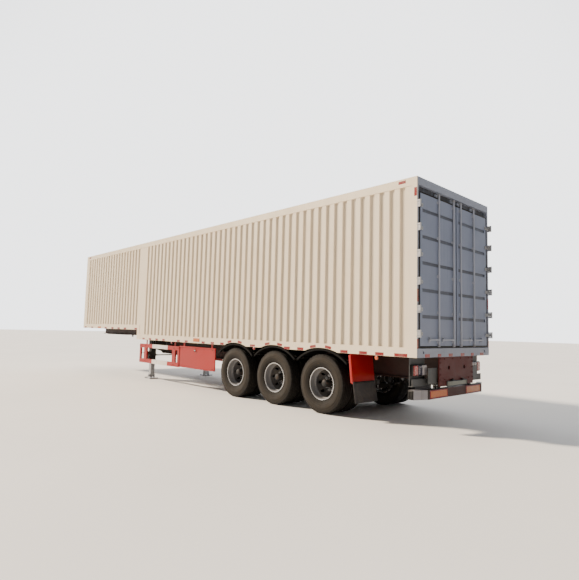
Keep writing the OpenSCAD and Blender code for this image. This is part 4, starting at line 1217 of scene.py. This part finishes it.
def coupling_fittings():
    """Brake couplings with their caps, and sockets with sprung lids, on the front panel."""
    low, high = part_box("coupling_panel")
    z = (low.z + high.z) / 2
    plate = slab((NOSE - 6 * MM, low.y, low.z), (NOSE, high.y, high.z), 2 * MM)
    parts = [painted(plate, CARRIER_GREY)]
    for y, cap in ((-0.42, AMBER_LENS), (0.42, RED_LENS)):
        elbow = slab((NOSE - 1 * MM, y - 20 * MM, z - 26 * MM),
                     (high.x - 34 * MM, y + 20 * MM, z + 20 * MM), 8 * MM)
        head = turned([(0, 44), (20, 44), (22, 38), (22, 30), (17, 26), (17, -20), (23, -26), (23, -42),
                       (0, -46)], 32)
        seal = turned([(9, 0), (17, 0), (15, 5), (9, 5)], 24)
        parts.append(painted(joined([elbow, standing(head, (high.x - 24 * MM, y, z), UP)]), ALLOY))
        parts.append(painted(standing(seal, (high.x - 24 * MM, y, z + 43 * MM), UP), cap))
    for y in (-0.18, 0, 0.18):
        shell = turned([(0, 0), (38, 0), (38, 6), (32, 10), (32, 50), (0, 50)], 32)
        lid = turned([(0, 60), (26, 60), (34, 56), (36, 50), (0, 50)], 32)
        socket = standing(joined([shell, lid]), (NOSE, y, z), FORWARD)
        pivot = moved(stud((50, -16, 36), (50, 16, 36), 5, 12, 1), (NOSE, y, z))
        parts.append(painted(joined([socket, pivot]), BLACK_ABS))
    corners = [(NOSE, y, z + dz) for y in (low.y + 30 * MM, high.y - 30 * MM) for dz in (-70 * MM, 70 * MM)]
    parts.append(painted(bolts(corners, FORWARD, 13), ZINC))
    finished(joined(parts), "coupling_fittings", CHASSIS, ["coupling_panel"])


def kingpin_bolts():
    """The ring of bolts that holds the coupling pin's base to its plate."""
    pin_x = next(m["pos_m"][0] for m in frame["record"]["mounts"] if m["name"] == "kingpin_foot")
    turns = [math.tau * n / 8 for n in range(8)]
    ring = [Vector((pin_x, 0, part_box("kingpin_plate")[0].z)) + mm(85 * math.cos(turn), 85 * math.sin(turn), 0)
            for turn in turns]
    finished(painted(bolts(ring, -UP, 20), ZINC), "kingpin_bolts", CHASSIS)


# ---- stage ----


def camera():
    """The eye stands behind the trailer on its left, low, and looks forward along it."""
    place = Vector((-10.858, 7.748, 1.508))
    heading, rise, roll = math.radians(-43.357), math.radians(4.832), math.radians(1.42)
    level = math.cos(rise)
    ahead_of = Vector((level * math.cos(heading), level * math.sin(heading), math.sin(rise)))
    right = ahead_of.cross(UP).normalized()
    above = right.cross(ahead_of)
    tilted_right = math.cos(roll) * right + math.sin(roll) * above
    tilted_up = math.cos(roll) * above - math.sin(roll) * right
    data = bpy.data.cameras.new("camera")
    data.sensor_width, data.lens = 36, 29.48
    data.clip_start, data.clip_end = 0.1, 400
    eye = bpy.data.objects.new("camera", data)
    bpy.context.scene.collection.objects.link(eye)
    turn = Matrix((tilted_right, tilted_up, -ahead_of)).transposed().to_4x4()
    eye.matrix_world = Matrix.Translation(place) @ turn
    bpy.context.scene.camera = eye


def soft_sun(name, direction, strength, spread, tint):
    """A broad soft light from one direction."""
    data = bpy.data.lights.new(name, "SUN")
    data.energy, data.angle, data.color = strength, math.radians(spread), linear(tint)[:3]
    lamp = bpy.data.objects.new(name, data)
    lamp.rotation_mode = "QUATERNION"
    lamp.rotation_quaternion = Vector(direction).to_track_quat("Z", "Y")
    bpy.context.scene.collection.objects.link(lamp)


def studio():
    deselect()
    bpy.ops.mesh.primitive_plane_add(size=240, location=(0, 0, 0))
    floor = bpy.context.object
    floor.name = "studio_floor"
    material, tree, place = new_material("matt_studio_floor", Roughness=0.85)
    tone = noise(tree, place, 3000, 3)
    painted(floor, surfaced(material, blended(tree, varied(tree, tone, 0, 1), "#ECEAE6", "#E6E4E0")))
    soft_sun("key_light", (1.0, 0.56, 0.7), 9.2, 6, "#FFEDD6")
    soft_sun("fill_light", (-1.0, 0.2, 0.7), 0.12, 40, "#EEF3FF")
    world = bpy.data.worlds.new("pale_studio")
    world.use_nodes = True
    # The studio's far wall is the pale one. The rest of the room is dimmer, and the grooves keep their shade
    tree = world.node_tree
    back_wall = Vector((0.73, -0.69, 0))
    way = add(tree, "ShaderNodeTexCoord").outputs["Generated"]
    toward = add(tree, "ShaderNodeVectorMath", {0: way, 1: back_wall},
                 operation="DOT_PRODUCT").outputs["Value"]
    shader = tree.nodes["Background"]
    shader.inputs["Color"].default_value = linear("#F5F6F8")
    tree.links.new(remap(tree, toward, 0.3, 0.82, 0.3, 3.4, "SMOOTHSTEP"), shader.inputs["Strength"])
    bpy.context.scene.world = world


for finish, nodes in NODE_FINISH.items():
    for node in nodes:
        painted(frame["nodes"][node], finish)
# The rear frame's sideways faces get the lit cream; its other faces keep the grey-blue painted shade.
painted(frame["nodes"]["rear_frame"], CREAM, lambda centre, normal: centre.y * normal.y > 1.2)

camera()
studio()
wheel_pieces()
door_seals()
lock_gear()
door_linings()
hinge_fixings()
frame_buffers()
rail_tape()
rear_tape()
side_lamps()
tail_lamps()
marker_boards()
number_plate()
rear_plate_fixings()
bar_fixings()
mud_flaps()
splash_flanges()
guard_fittings()
mudguard_fixings()
u_bolts()
spring_clips()
brake_gear()
air_tanks()
landing_gear()
foot_details()
coupling_fittings()
kingpin_bolts()
